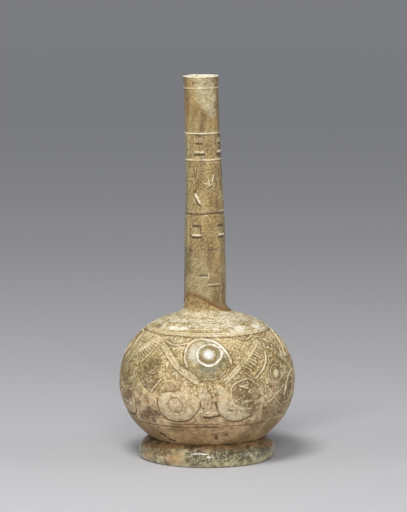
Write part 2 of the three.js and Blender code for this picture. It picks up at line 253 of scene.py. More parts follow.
# %% Meshes
def skin(name, place, poles=False, fields=None):
    """A closed mesh from a grid of points in millimetres, [rows, columns, 3]. The columns close on each
    other. The last row joins the first, or with poles, each end row shrinks to one point at its middle.
    Fields are values for each point, which the materials read as attributes."""
    rows, columns = place.shape[:2]
    corner = np.arange(rows * columns).reshape(rows, columns)
    beside = np.roll(corner, -1, axis=1)
    if poles:
        low, high, low_next, high_next = corner[:-1], corner[1:], beside[:-1], beside[1:]
    else:
        low, high = corner, np.roll(corner, -1, axis=0)
        low_next, high_next = beside, np.roll(beside, -1, axis=0)
    quads = np.stack((low, low_next, high_next, high), axis=-1).reshape(-1, 4)
    points = place.reshape(-1, 3).copy()
    if poles:
        points[corner[0]] = place[0].mean(axis=0)
        points[corner[-1]] = place[-1].mean(axis=0)
    mesh = bpy.data.meshes.new(name)
    mesh.vertices.add(len(points))
    mesh.vertices.foreach_set("co", (points * MM).ravel())
    mesh.loops.add(quads.size)
    mesh.loops.foreach_set("vertex_index", quads.ravel())
    mesh.polygons.add(len(quads))
    mesh.polygons.foreach_set("loop_start", np.arange(0, quads.size, 4))
    for label, values in (fields or {}).items():
        layer = mesh.attributes.new(label, "FLOAT", "POINT")
        layer.data.foreach_set("value", np.asarray(values, np.float32).ravel())
    mesh.update(calc_edges=True)
    if poles:
        close_poles(mesh)
    mesh.polygons.foreach_set("use_smooth", np.ones(len(mesh.polygons), bool))
    piece = bpy.data.objects.new(name, mesh)
    bpy.context.scene.collection.objects.link(piece)
    print("%s: %d rows, %d columns" % (name, rows, columns))
    return piece


def close_poles(mesh):
    """Merges the points that share one place at each pole, so that triangles meet there."""
    shape = bmesh.new()
    shape.from_mesh(mesh)
    bmesh.ops.remove_doubles(shape, verts=shape.verts, dist=1e-3 * MM)
    shape.to_mesh(mesh)
    shape.free()


def dress(piece, node, material):
    """Stands a piece in for a CAD node, with its material."""
    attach(piece, "root")
    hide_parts(node)
    piece.data.materials.append(material)
    triangles = sum(len(polygon.vertices) - 2 for polygon in piece.data.polygons)
    print("%s: %d triangles" % (piece.name, triangles))


# %% [markdown]
# ## Randomness that stays put
# Worn glass is uneven at every scale. `cloud` gives smooth random hills in space: random numbers sit on a
# cubic lattice and are blended between. Its seed is fixed, so each run gives the same bottle, and because
# it is a function of place, it has no seam where the columns close.

# %% Smooth random hills
def cloud(place, size, seed):
    """Random hills about size millimetres across, from -1 to 1: lattice values blended by smooth shares."""
    cells = 32
    lattice = np.random.default_rng(seed).uniform(-1, 1, (cells, cells, cells))
    spot = place / size
    corner = np.floor(spot).astype(int)
    share = spot - corner
    share = share * share * (3 - 2 * share)
    total = np.zeros(place.shape[:-1])
    for step in np.ndindex(2, 2, 2):
        weight = np.prod(np.where(np.array(step) == 1, share, 1 - share), axis=-1)
        index = (corner + step) % cells
        total += weight * lattice[index[..., 0], index[..., 1], index[..., 2]]
    return total


# %% [markdown]
# ## Strokes on an unrolled wall
# The cutter's lines are strokes on the wall: each is a few points given by turn (degrees) and climb
# (millimetres), joined by a smooth curve. For every grid point near a stroke, the distance to the curve
# says whether it lies on the ridge, on its flank or beside it. Working with distances keeps a ridge equally
# wide in any direction, which painting it on a picture of the wall wouldn't.

# %% Smooth lines
def smooth_path(points, steps=5):
    """A Catmull-Rom curve through the points: each stretch is a cubic whose slope at a point is half the way
    from the point before to the point after."""
    points = np.asarray(points, float)
    if len(points) < 3:
        return points
    padded = np.vstack((2 * points[0] - points[1], points, 2 * points[-1] - points[-2]))
    before, start, end, after = padded[:-3, None], padded[1:-2, None], padded[2:-1, None], padded[3:, None]
    t = np.linspace(0, 1, steps, endpoint=False)[None, :, None]
    curve = 0.5 * (2 * start + (end - before) * t + (2 * before - 5 * start + 4 * end - after) * t ** 2
                   + (3 * start - before - 3 * end + after) * t ** 3)
    return np.vstack((curve.reshape(-1, 2), points[-1:]))


def turn_between(turn, middle):
    """Degrees from middle to turn, the short way round."""
    return (turn - middle + 180) % 360 - 180


def raise_to(values, window, body):
    """Keeps the higher of what is there and what is added, inside a window."""
    values[window] = np.maximum(values[window], body)


# %% The unrolled wall
class Wall:
    """A wall unrolled into rows that follow the climb and columns that follow the turn. A window is the
    rows and columns near a line, so that a short stroke doesn't cost a look at the whole wall."""

    def __init__(self, turn, climb, radius, sway):
        """reach is the length of one degree in each row: the radius times the angle in radians."""
        self.turn, self.climb, self.sway = turn, climb, sway
        self.reach = np.radians(radius)
        self.hand = np.random.default_rng(3)

    def wavering(self, points):
        """A smooth path whose points stray a little, as a hand-held wheel does."""
        path = smooth_path(points)
        scale = np.interp(path[:, 1], self.climb, self.reach)
        astray = self.hand.normal(0, self.sway, path.shape)
        return path + astray / np.stack((scale, np.ones(len(path))), axis=1)

    def window(self, points, margin):
        """The rows and columns within a margin of the points, with each column's turn from their middle."""
        middle = (points[:, 0].max() + points[:, 0].min()) / 2
        rows = np.flatnonzero((self.climb > points[:, 1].min() - margin)
                              & (self.climb < points[:, 1].max() + margin))
        spread = (points[:, 0].max() - points[:, 0].min()) / 2 + margin / self.reach[rows].min()
        away = turn_between(self.turn, middle)
        columns = np.flatnonzero(np.abs(away) < spread)
        return rows, columns, away[columns] + middle

    def distance(self, points, margin=4.0):
        """Millimetres from each grid point of the window to a line through the points. The nearest point of
        a stretch lies at the share of it that the way from its start covers, held between 0 and 1."""
        rows, columns, turn = self.window(points, margin)
        reach = self.reach[rows][:, None]
        start, end = points[:-1, None, None], points[1:, None, None]
        across = (start[..., 0] - turn) * reach
        up = start[..., 1] - self.climb[rows][:, None]
        run = (end[..., 0] - start[..., 0]) * reach
        rise = end[..., 1] - start[..., 1]
        share = np.clip(-(across * run + up * rise) / (run ** 2 + rise ** 2), 0, 1)
        gap = np.hypot(across + share * run, up + share * rise).min(axis=0)
        return np.ix_(rows, columns), gap

    def round(self, centre, radius, squash=1.0):
        """Millimetres from a centre over the window round it, with the height divided by the squash, so
        that an ellipse has one distance all the way round."""
        corners = np.array([centre, centre]) + [[0, -radius * squash], [0, radius * squash]]
        rows, columns, turn = self.window(corners, radius * max(1, 1 / squash) + 3)
        across = (turn - centre[0]) * self.reach[rows][:, None]
        up = (self.climb[rows][:, None] - centre[1]) / squash
        return np.ix_(rows, columns), np.hypot(across, up)


# %% [markdown]
# ## Marks of the wheel
# A ridge is what the wheel left standing and a groove is what it cut. Both are kept as values from 0 to 1
# on the wall's grid, and where two strokes meet, the higher value stays. Nothing is moved yet: the same
# values first shape the mesh and later colour it.

# %% The carving
class Carving(Wall):
    """Where a wall stands proud or is cut. ridge and cut go from 0 to 1, near is the distance to the nearest
    ridge, field marks ground that was left smooth, rough marks ground that is eaten away, and plateau marks
    ground between two lines that was left higher."""

    def __init__(self, turn, climb, radius, sway=0.08):
        """Starts with an uncut wall."""
        super().__init__(turn, climb, radius, sway)
        shape = (len(climb), len(turn))
        self.ridge, self.cut, self.plateau = np.zeros(shape), np.zeros(shape), np.zeros(shape)
        self.field, self.rough, self.near = np.zeros(shape), np.zeros(shape), np.full(shape, 9.0)

    def raise_ridge(self, window, gap, width, height):
        """A flat top whose sides fall softly over three quarters of a millimetre."""
        edge = width / 2
        raise_to(self.ridge, window, height * (1 - smoothstep(edge - 0.35, edge + 0.4, gap)))
        self.near[window] = np.minimum(self.near[window], np.maximum(gap - edge, 0))

    def stroke(self, points, width=1.0, height=1.0):
        """A ridge along a smooth line through the points."""
        window, gap = self.distance(self.wavering(points))
        self.raise_ridge(window, gap, width, height)

    def double_stroke(self, points, step, width, height):
        """Two ridges side by side, with a low plateau between them."""
        middle = np.asarray(points, float) + np.array(step) / 2
        window, gap = self.distance(smooth_path(middle))
        raise_to(self.plateau, window, 1 - smoothstep(1.3, 1.9, gap))
        self.stroke(points, width, height)
        self.stroke(np.asarray(points, float) + step, width, height)

    def scratch(self, points, width=0.7, depth=1.0):
        """A groove along a smooth line through the points."""
        window, gap = self.distance(self.wavering(points))
        raise_to(self.cut, window, depth * (1 - smoothstep(0, width, gap)))

    def level_ridge(self, climb, sway, width, height):
        """A ridge all the way round, which sways up and down."""
        self.raise_ridge(slice(None), np.abs(self.climb[:, None] - climb - sway), width, height)

    def level_groove(self, climb, sway, width, depth, flat=0.0):
        """A groove all the way round, with a flat floor of a given half width."""
        gap = np.abs(self.climb[:, None] - climb - sway)
        raise_to(self.cut, slice(None), depth * (1 - smoothstep(flat, width, gap)))

    def ring(self, centre, radius, width=1.0, height=1.0, squash=1.0):
        """A round ridge: the gap is how far the distance from the centre is from the radius."""
        window, away = self.round(centre, radius, squash)
        self.raise_ridge(window, np.abs(away - radius), width, height)

    def groove_ring(self, centre, radius, width=0.7, depth=1.0):
        """A round groove."""
        window, away = self.round(centre, radius)
        raise_to(self.cut, window, depth * (1 - smoothstep(0, width, np.abs(away - radius))))

    def disc(self, centre, radius, squash=1.0, amount=1.0):
        """Marks a smooth field."""
        window, away = self.round(centre, radius, squash)
        raise_to(self.field, window, amount * (1 - smoothstep(radius - 0.7, radius + 0.7, away)))

    def rotten_disc(self, centre, radius, squash=1.0):
        """Marks rough ground, which takes the place of any smooth field there."""
        window, away = self.round(centre, radius, squash)
        body = 1 - smoothstep(radius - 1.2, radius + 0.6, away)
        self.field[window] *= 1 - body
        raise_to(self.rough, window, body)

    def closeness(self):
        """1 at a ridge's foot, falling to 0 at 3.4 mm from it: an exponential fade, ended by a soft step."""
        return np.exp(-self.near / 1.2) * (1 - smoothstep(2.2, 3.4, self.near))


# %% [markdown]
# ## The grid of the bulb
# The rows lie closer together where the relief is, and the last ones stop at the break, whose height
# changes with the turn. The break is a tilted plane with a saddle's swell, as a crack through a tube often
# is. A Boolean could cut the break, but rows that end on it leave a cleaner edge.

# %% The bulb's grid
def break_at(turn, share=1.0):
    """Height of the middle of the break at a turn, on the neck's wall or a share of the way out to it: a
    cosine of the turn for the tilt and one of twice the turn for the swell."""
    away = np.radians(turn - break_crest)
    return break_height + share * (break_tilt * np.cos(away) + break_swell * np.cos(2 * away))


def turns_of(columns):
    """Evenly spaced turns from -180 degrees, one for each column."""
    return np.arange(columns) * 360 / columns - 180


bulb_columns = 520
bulb_turn = turns_of(bulb_columns)
relief_start, relief_end = 21.0, 89.0
plain_rows = np.concatenate((
    np.linspace(wall_outline.climb[0], 0, 12, endpoint=False),
    np.linspace(0, relief_start, 18, endpoint=False),
    np.linspace(relief_start, relief_end, 114, endpoint=False),
))
stub_share = np.linspace(0, 1, 24) ** 0.9
stub_end = wall_outline.climb_at(break_at(bulb_turn) - break_half, widest_height)
stub_rows = relief_end + stub_share[:, None] * (stub_end - relief_end)
outer_climb = np.vstack((np.repeat(plain_rows[:, None], bulb_columns, axis=1), stub_rows))
print("bulb grid: %d rows by %d columns" % outer_climb.shape)

# %% [markdown]
# ## The cut pattern of the bulb
# The pattern has four faces. Each has a round medallion under the shoulder, held between two double bands
# that cross below it, and a pair of discs under the bands. Between two faces is a panel with a feathered
# leaf and a small charm. The front face and the panels beside it follow the photograph; it doesn't show the
# others, so they repeat the same parts, mirrored in turn, as the cutter would have. A motif is a table of
# lines, so that it can be cut again at another turn.

# %% Cutting a table of lines
def shifted(points, at, side=1):
    """The points moved round to a turn, and mirrored where side is -1."""
    return np.asarray(points, float) * [side, 1] + [at, 0]


def cut_lines(wall, at, side, lines):
    """Cuts a table of lines at a turn. Each has its kind, its width, its height or depth, and its points."""
    for kind, width, size, points in lines:
        cut = wall.stroke if kind == "ridge" else wall.scratch
        cut(shifted(points, at, side), width, size)


# %% [markdown]
# ## The medallion
# A bold crest runs over the top and ends in a point, and a thinner line closes the ring below. Inside it a
# second ring stands round the boss, which catches the brightest light on the bottle, and whose near-white
# colour in the material is a painted highlight. None of these lines is a true circle, so each is a spline
# through a few points.

# %% The medallion
medallion_climb, heart_turn, heart_rise = 66.3, 1.2, 1.8
medallion_lines = (
    ("ridge", 1.25, 1.0, [(-13.5, 60.5), (-15.7, 64), (-16.6, 68), (-16.1, 72), (-14.2, 75.8), (-11, 78.2),
                          (-6, 79.1), (0, 78.7), (5, 77.3), (9.5, 74.9), (13, 71.5), (15.5, 67.8),
                          (16.8, 64.8), (17, 62)]),
    ("ridge", 0.65, 0.8, [(5, 75.4), (9.5, 72.6), (12.4, 69), (13.6, 65)]),
    ("ridge", 0.55, 0.85, [(-13.5, 60.5), (-10.5, 57), (-7, 54.6), (-2, 53.2), (4, 53.3), (8.5, 54.8),
                           (11.6, 57.2), (13.4, 60.2), (13.6, 63.8)]),
    ("ridge", 1.35, 1.0, [(-7.3, 69), (-6.8, 65.8), (-4.6, 63.2), (-1, 61.5), (3, 61.4), (7, 63.3),
                          (10, 66.3), (11, 69)]),
    ("ridge", 0.9, 0.95, [(11, 69), (9.6, 72), (6, 74.3), (1.5, 75), (-3, 74), (-6.2, 71.8), (-7.3, 69)]),
)


def cut_medallion(wall, at, side, clearness):
    """The clear field, its rings, and two thin circles round the boss."""
    heart = (at + heart_turn * side, medallion_climb + heart_rise)
    wall.disc((at - 0.5 * side, medallion_climb), 12.7, amount=clearness)
    cut_lines(wall, at, side, medallion_lines)
    wall.ring(heart, 5.7, width=0.4, height=0.4)
    wall.groove_ring(heart, 5.0, width=0.75, depth=0.6)


# %% [markdown]
# ## The bands
# Two slanting bands hold the medallion. Each is a pair of thin ridges with a strip between them that was
# left a little higher than the ground, so it keeps its cream colour. One wide stroke would look moulded,
# and two thin ones with a strip between them look cut.

# %% The bands
left_band = [(-49, 79.5), (-41.5, 76.8), (-35, 73.6), (-30, 70.2), (-24.6, 65.6), (-18.4, 60.5),
             (-10.7, 56.4), (-6.5, 53.6)]
right_band = [(11, 52.4), (20.4, 60), (25.6, 63.6), (31, 67.6), (36, 71.2), (43, 75.6)]
shoulder_lines = (
    ("ridge", 0.7, 1.0, [(-37, 76.8), (-33, 75.2), (-28, 74), (-24, 74.1), (-20, 74.8), (-16, 76)]),
    ("ridge", 1.5, 0.6, [(19, 82), (26, 80.4), (32, 78.4), (38, 78.1), (46, 80.5)]),
)


def cut_bands(wall, at, side):
    """The two double bands and the arcs that hang from the shoulder beside them."""
    wall.double_stroke(shifted(left_band, at, side), (-1.8 * side, -2.6), 0.65, 0.95)
    wall.double_stroke(shifted(right_band, at, side), (1.5 * side, -1.7), 0.55, 0.95)
    cut_lines(wall, at, side, shoulder_lines)


# %% [markdown]
# ## The discs
# Below each medallion are two discs. The left one is smooth, with an incised outline and an eye. The right
# one has rotted away to rough ground inside a pale crescent.

# %% The discs
smooth_disc_place, smooth_disc_radius, smooth_disc_squash = (-19.3, 36.2), 13.3, 0.71
eye_place = (-21, 37.4)
disc_lines = (
    ("groove", 0.85, 1.1, [(-34.2, 40), (-34.4, 36), (-33, 31.6), (-31, 28.8), (-27.5, 26.9), (-22, 26.3),
                           (-16, 26.7), (-11.5, 28.4), (-9, 30.8), (-6.5, 33.6), (-4.7, 36.6),
                           (-4.2, 39.5)]),
    ("groove", 0.7, 0.9, [(-30.5, 44.4), (-26, 45.4), (-20.5, 45)]),
    ("ridge", 0.7, 1.0, [(-19, 46.2), (-17, 44.6), (-15.3, 42.3)]),
    ("groove", 0.9, 0.8, [(-14.4, 35.6), (-14.2, 33)]),
    ("groove", 0.85, 1.0, [(5.5, 40), (6.2, 36.6), (8, 33), (10.5, 30.2), (14, 28), (18.5, 26.7),
                           (23.5, 26.7), (28.5, 27.9), (33, 30.2)]),
    ("ridge", 0.85, 0.9, [(15.8, 46.5), (15.9, 42.5), (17.2, 38.8), (20, 36.2), (24.5, 34.8), (30, 35)]),
    ("groove", 0.9, 1.3, [(14.2, 34.4), (16.8, 34.1)]),
    ("ridge", 0.7, 1.0, [(15.2, 46.8), (17, 49.2), (19.5, 50.9), (23.5, 52.2), (28.5, 52.8)]),
    ("ridge", 0.85, 1.0, [(28, 52.9), (31.5, 51.2), (34.5, 48.9), (36.8, 46.2), (38.2, 42)]),
    ("ridge", 0.5, 0.8, [(32, 53.3), (35.5, 50.8), (38.5, 48), (40.5, 43.5)]),
    ("ridge", 0.9, 1.0, [(21.5, 48.8), (25, 48), (27.5, 47)]),
    ("ridge", 0.7, 0.9, [(18.3, 41.4), (18.5, 39.6), (20.3, 40.8), (22.5, 41.8)]),
)


def cut_discs(wall, at, side, clearness):
    """A smooth disc with an eye, and a rough one with a pale crescent below it."""
    eye_turn = at + eye_place[0] * side
    wall.disc((at + smooth_disc_place[0] * side, smooth_disc_place[1]), smooth_disc_radius,
              smooth_disc_squash, clearness)
    wall.disc((at + 19.5 * side, 36.0), 11.4, squash=0.82, amount=0.9 * clearness)
    wall.rotten_disc((at + 26.5 * side, 44.2), 9.8, squash=0.86)
    wall.groove_ring((eye_turn, eye_place[1]), 4.6, width=0.75, depth=0.9)
    wall.ring((eye_turn, eye_place[1] + 0.2), 2.7, width=0.7, height=0.55)
    cut_lines(wall, at, side, disc_lines)


# %% [markdown]
# ## The panels
# Between two faces stands a leaf: a stem with short strokes along it, each a little different in length.
# The panels on either side of the front differ, so there are two kinds.

# %% The feather panel
feather_stem = [(-23, 59.2), (-18, 55.7), (-14, 53.2), (-11, 52.6), (-7.5, 55), (-4, 57.6), (-0.5, 61),
                (1.5, 64.5), (2.3, 67.5)]
feather_reaches = (1.1, 0.9, 1.15, 1, 0.7, 1.1, 0.8, 0.6, 0.9)
feather_start, feather_end = np.array((-20.5, 60.8)), np.array((-4.5, 72))
stem_lines = (("ridge", 0.6, 0.9, feather_stem[:4]), ("ridge", 1.05, 1.0, feather_stem[3:]))
crossing_lines = (
    ("ridge", 1.05, 1.0, [(-2, 47), (3, 41.6), (8, 37), (14, 33.6)]),
    ("ridge", 1.05, 1.0, [(-1.5, 37), (5, 40.6), (11, 43.5), (15, 46)]),
    ("ridge", 1.9, 1.0, [(15.6, 40), (18.5, 45.5), (22, 49.5), (27, 52), (32, 52.5)]),
)


def cut_feather_panel(wall, at, side):
    """A leaf of short strokes, a small charm, two crossing lines, an arc, and a row of paired strokes."""
    cut_lines(wall, at, side, stem_lines)
    for share, reach in zip(np.linspace(0, 1, len(feather_reaches)), feather_reaches):
        start = mixed(feather_start, feather_end, share)
        points = [start, start + np.array((3, -1.2)) * reach, start + np.array((6.2, -3.4)) * reach]
        wall.stroke(shifted(points, at, side), width=0.7, height=0.75 + 0.25 * reach)
    charm = (at + 7.5 * side, 53.6)
    wall.ring(charm, 2.1, width=1.1, height=0.8)
    wall.ring(charm, 0.7, width=1.5, height=0.9)
    wall.ring(charm, 4.9, width=0.6, height=0.8, squash=1.1)
    cut_lines(wall, at, side, crossing_lines)
    for step in range(6):
        start = np.array((1 + 3.3 * step, 76.4 - 1.3 * step))
        cut_lines(wall, at, side, (("ridge", 0.75, 1.0, [start, start + (2.0, -3.8)]),
                                   ("groove", 1.0, 1.2, [start + (1.7, 0), start + (3.9, -4.2)])))


# %% The chevron panel
chevron_lines = (
    ("ridge", 0.6, 0.9, [(-8, 56), (-3, 50.6), (1, 47)]),
    ("groove", 0.8, 0.8, [(-7.5, 54.8), (-3, 49.6), (2.5, 44.6)]),
    ("ridge", 0.85, 1.0, [(6, 44.4), (10, 48.6), (14, 52.6)]),
    ("ridge", 0.6, 0.8, [(-2, 57.6), (2, 54.6), (9, 59.6)]),
)


def cut_chevron_panel(wall, at, side):
    """A leaf with its strokes on the outside, a chevron and an oval between its arms."""
    wall.stroke(shifted([(1.5, 76), (0, 70), (-3, 65), (-8, 60)], at, side), width=1.4, height=0.75)
    for share in np.linspace(0.05, 1, 9):
        start = mixed(np.array((0.2, 74.6)), np.array((-6.8, 61.0)), share)
        wall.stroke(shifted([start, start + (-4.4, 1.3), start + (-9, 3.4)], at, side), width=0.7)
    cut_lines(wall, at, side, chevron_lines)
    wall.ring((at + 5 * side, 60), 4.4, width=0.55, height=0.7, squash=1.2)
    for rise in 4.5 * np.linspace(0, 1, 4):
        wall.stroke(shifted([(1.8, 57.8 + rise), (8, 58.6 + rise)], at, side), width=0.45, height=0.5)


# %% [markdown]
# ## Chisel marks
# Between the motifs the ground is covered in short nicks. They are random, but those that lie near each
# other lean the same way, as they do where a hand works along a wall. A noise texture has no direction, so
# each nick is a short stroke of its own.

# %% Chisel marks
def chip_ground(wall, count, low, high, seed):
    """Short marks at random places. The lean is a slow sine wave of the place plus a little chance."""
    random = np.random.default_rng(seed)
    for _ in range(count):
        start = np.array((random.uniform(-180, 180), random.uniform(low, high)))
        lean = 1.3 * math.sin(math.radians(4 * start[0]) + 0.14 * start[1]) + random.normal(0, 0.35)
        length = random.uniform(1.0, 3.4)
        end = start + (math.degrees(length * math.sin(lean) / bulb_radius), length * math.cos(lean))
        window, gap = wall.distance(np.array((start, end)), 1.5)
        body = random.uniform(0.45, 1.0) * (1 - smoothstep(0.05, 0.5, gap)) * (1 - wall.field[window])
        raise_to(wall.ridge, window, body * smoothstep(0.3, 1.0, wall.near[window]))


# %% [markdown]
# ## Cutting the bulb
# The medallion at the front is the clearest, and the others are more weathered. Ridges round the shoulder
# and fine incised lines close the pattern above and below, and a few gouges follow the photograph.

# %% Cut the bulb
face_clearness = (1.0, 0.35, 0.7, 0.35)
bulb_carving = Carving(bulb_turn, plain_rows, np.maximum(wall_outline.at(plain_rows)[0], 1))
for index, clearness in enumerate(face_clearness):
    face_turn, mirror = 90 * index, 1 - 2 * (index % 2)
    cut_medallion(bulb_carving, face_turn, mirror, clearness)
    cut_bands(bulb_carving, face_turn, mirror)
    cut_discs(bulb_carving, face_turn, mirror, 0.4 + 0.6 * clearness)
for panel_turn, mirror in ((45, 1), (-135, -1)):
    cut_feather_panel(bulb_carving, panel_turn, mirror)
for panel_turn, mirror in ((-45, 1), (135, -1)):
    cut_chevron_panel(bulb_carving, panel_turn, mirror)

shoulder_sway = 0.6 * np.cos(np.radians(bulb_turn + 12)) - 0.3 * np.cos(np.radians(3 * bulb_turn))
base_sway = 0.9 * np.sin(np.radians(bulb_turn + 5)) + 0.2 * np.sin(np.radians(5 * bulb_turn))
shoulder_ridges = ((82.9, 0.9), (81.3, 0.5), (85.3, 0.5), (86.9, 0.45))
for ridge_climb, ridge_width in shoulder_ridges:
    bulb_carving.level_ridge(ridge_climb, shoulder_sway, ridge_width, 1.0)
chip_ground(bulb_carving, count=3000, low=27, high=80, seed=8)
incised_lines = ((22.7, 0.8, base_sway), (25.0, 0.4, base_sway),
                 (80.1, 0.65, shoulder_sway), (83.8, 0.55, shoulder_sway))
for line_climb, line_depth, sway in incised_lines:
    bulb_carving.level_groove(line_climb, sway, 0.75, line_depth)

# %% Cut the marks that only the front has
front_lines = (
    ("groove", 0.9, 1.4, [(-6, 22.7), (6, 22.9)]),
    ("groove", 1.1, 1.5, [(-2, 30), (2.4, 29.9), (8, 30.9)]),
    ("groove", 1.2, 0.9, [(6, 14.6), (8.5, 13.6), (7, 12.4), (9, 11.4)]),
    ("groove", 1.9, 1.5, [(-41, 14.8), (-38.4, 12.6)]),
    ("groove", 1.8, 1.5, [(-37, 9.4), (-32.5, 7.9)]),
    ("groove", 1.0, 0.9, [(-25, 7.2), (-22.6, 7.3)]),
    ("groove", 1.0, 0.6, [(2.4, 35.5), (2.8, 44)]),
    ("groove", 1.0, 0.6, [(6.6, 35.5), (7.0, 44)]),
    ("ridge", 1.2, 0.55, [(-1.5, 34.5), (-0.4, 40), (0.4, 45)]),
    ("ridge", 0.9, 0.5, [(4.6, 35), (4.8, 40), (5.2, 44)]),
    ("groove", 0.9, 0.9, [(-8, 22.8), (7, 23)]),
    ("groove", 0.8, 0.8, [(-24, 24.6), (8, 24.9)]),
    ("ridge", 0.9, 1.0, [(-70, 36.6), (-66, 34.6), (-61.5, 33.6)]),
)
cut_lines(bulb_carving, 0, 1, front_lines)
print("ridges cover %.0f%% of the bulb" % (100 * bulb_carving.ridge.mean()))

# %% [markdown]
# ## Pits
# Burial eats small craters into glass, in clusters. Each pit is a soft dent at a random place; the chance
# of one follows a map of how rotten the surface is there. They are dents in the mesh, and the same values
# darken the material, because dirt stays in them.

# %% Pits
def pitted(wall, chance, count, seed, sizes=(0.45, 1.0)):
    """Depth of pits from 0 to 1 on a wall's grid: round dents at random places, 1 minus the square of the
    share of the radius, kept where the chance there beats a random number."""
    random = np.random.default_rng(seed)
    depth = np.zeros(chance.shape)
    low, high = wall.climb[0], wall.climb[-1]
    turns, climbs = random.uniform(-180, 180, count), random.uniform(low, high, count)
    radii, luck = random.uniform(*sizes, count), random.uniform(0, 1, count)
    row = np.searchsorted(wall.climb, climbs).clip(0, len(wall.climb) - 1)
    column = ((turns + 180) / 360 * len(wall.turn)).astype(int) % len(wall.turn)
    for index in np.flatnonzero(luck < chance[row, column]):
        window, away = wall.round((turns[index], climbs[index]), radii[index])
        raise_to(depth, window, np.clip(1 - (away / radii[index]) ** 2, 0, 1))
    return depth


bulb_radius_grid, bulb_height_grid, bulb_out, bulb_up = wall_outline.at(outer_climb)
bulb_base = carried(bulb_radius_grid, bulb_height_grid, bulb_turn)
plain = slice(0, len(plain_rows))
plain_base = bulb_base[plain]
climb_column = plain_rows[:, None]
rotten = 0.35 + 0.6 * cloud(plain_base, 16, 5) + 0.25 * cloud(plain_base, 6, 6)
pit_band = smoothstep(40, 46, climb_column) * (1 - 0.75 * smoothstep(58, 64, climb_column)) + 0.12
pit_chance = pit_band * (1 - 0.9 * bulb_carving.field) * (1 - 0.6 * bulb_carving.ridge)
pit_chance += 0.8 * bulb_carving.rough
bulb_pits = pitted(bulb_carving, np.clip(rotten, 0, 1) * np.clip(pit_chance, 0, 1), count=14000, seed=7)
print("pits cover %.0f%% of the bulb" % (100 * (bulb_pits > 0.2).mean()))

# %% [markdown]
# ## The height of the relief
# The ground between the ridges lies half a millimetre below the blown surface, which only the tops of the
# ridges keep. The relief is built up like the work itself: first the sunk ground, deeper right beside a
# ridge, then the strips, fields and bosses, then the ridges, the grooves and the pits, and last the wear.

# %% Zones and wear of the bulb
squashed = np.array((1, 1, 0.4))
worn = smoothstep(-0.75, 0.35, cloud(plain_base, 7, 11) + 0.5 * cloud(plain_base, 2.5, 18))
crust = smoothstep(-0.1, 0.25, cloud(plain_base, 8, 16) + 0.5 * cloud(plain_base, 2.6, 17))
carved = smoothstep(24, 28, climb_column) * (1 - smoothstep(80.5, 82, climb_column))
shoulder = smoothstep(85, 88, climb_column)
beside_ridge = bulb_carving.closeness()


def boss(wall, at, climb, radius, rise, squash=1.0):
    """A smooth dome, high in the middle: 1 minus the square of the share of the radius."""
    height = np.zeros((len(wall.climb), len(wall.turn)))
    window, away = wall.round((at, climb), radius, squash)
    height[window] = rise * np.clip(1 - (away / radius) ** 2, 0, 1)
    return height


# %% The relief of the bulb
ground_depth, plateau_depth, field_depth = 0.5, 0.18, 0.25
groove_depth, pit_depth, disc_sink = 0.5, 0.42, 0.12
ridge_drop, ridge_wear = 0.04, 0.2
chisel_height, flake_height, grain_height = 0.13, 0.12, 0.06
relief = -ground_depth * carved * (0.7 + 0.8 * beside_ridge)
relief = mixed(relief, -plateau_depth, 0.8 * bulb_carving.plateau)
relief = mixed(relief, -field_depth, np.clip(bulb_carving.field, 0, 1))
# The bosses' mask: there the material paints a near-white highlight and raises the gloss.
boss_highlight_mask = np.zeros(relief.shape)
for index, clearness in enumerate(face_clearness):
    face_turn, side = 90 * index, 1 - 2 * (index % 2)
    dish = boss(bulb_carving, face_turn, medallion_climb, 13.0, 0.15)
    heart_boss = boss(bulb_carving, face_turn + heart_turn * side, medallion_climb + heart_rise, 4.2, 0.8)
    boss_highlight_mask = np.maximum(boss_highlight_mask, smoothstep(0.15, 0.7, heart_boss) * clearness)
    relief += heart_boss - dish
    relief += boss(bulb_carving, face_turn + eye_place[0] * side, eye_place[1], 3.2, 0.4)
    smooth_dome = boss(bulb_carving, face_turn + smooth_disc_place[0] * side, smooth_disc_place[1],
                       smooth_disc_radius, 0.3, smooth_disc_squash)
    relief += smooth_dome - disc_sink * (smooth_dome > 0)
ridge_top = -ridge_drop - ridge_wear * (1 - worn)
relief = mixed(relief, np.maximum(relief, ridge_top), np.clip(bulb_carving.ridge, 0, 1))
relief -= groove_depth * bulb_carving.cut + pit_depth * bulb_pits

open_field = 1 - bulb_carving.field
chisel = cloud(plain_base * squashed, 1.5, 12) + 0.6 * cloud(plain_base, 1.3, 19)
relief += chisel_height * (chisel - 1) * open_field * (1 - bulb_carving.ridge) * carved
relief += flake_height * (crust - 1) * (shoulder + 0.5 * carved) * open_field
relief += grain_height * (cloud(plain_base, 1.6, 20) - 1) * (0.4 + shoulder) * open_field
print("relief from %.2f to %.2f mm" % (relief.min(), relief.max()))

# %% [markdown]
# ## The bulb's skin
# Outside, every point is pushed out by its relief along the wall's own direction. The wall then turns in
# over the broken edge and comes down inside, so the bulb is a closed shell with a real thickness. Displace
# and Solidify modifiers could do both, but the second would print the relief on the inside too.

# %% The bulb's outside
swell_height, turning_height, stub_sink = 0.08, 0.07, 0.12
bulb_relief = np.zeros(outer_climb.shape)
bulb_relief[plain] = relief
bulb_relief += swell_height * (cloud(bulb_base, 30, 13) - 1)
turning_lines = np.sin(outer_climb * 2.4 + 2 * cloud(bulb_base, 20, 14))
bulb_relief += turning_height * turning_lines * (1 - smoothstep(22, 26, outer_climb))
stub_noise = 0.08 * cloud(bulb_base, 4, 15) + 0.05 * cloud(bulb_base, 1.6, 20)
bulb_relief[len(plain_rows):] += stub_noise[len(plain_rows):] - stub_sink
outer_skin = carried(bulb_radius_grid + bulb_relief * bulb_out, bulb_height_grid + bulb_relief * bulb_up,
                     bulb_turn)

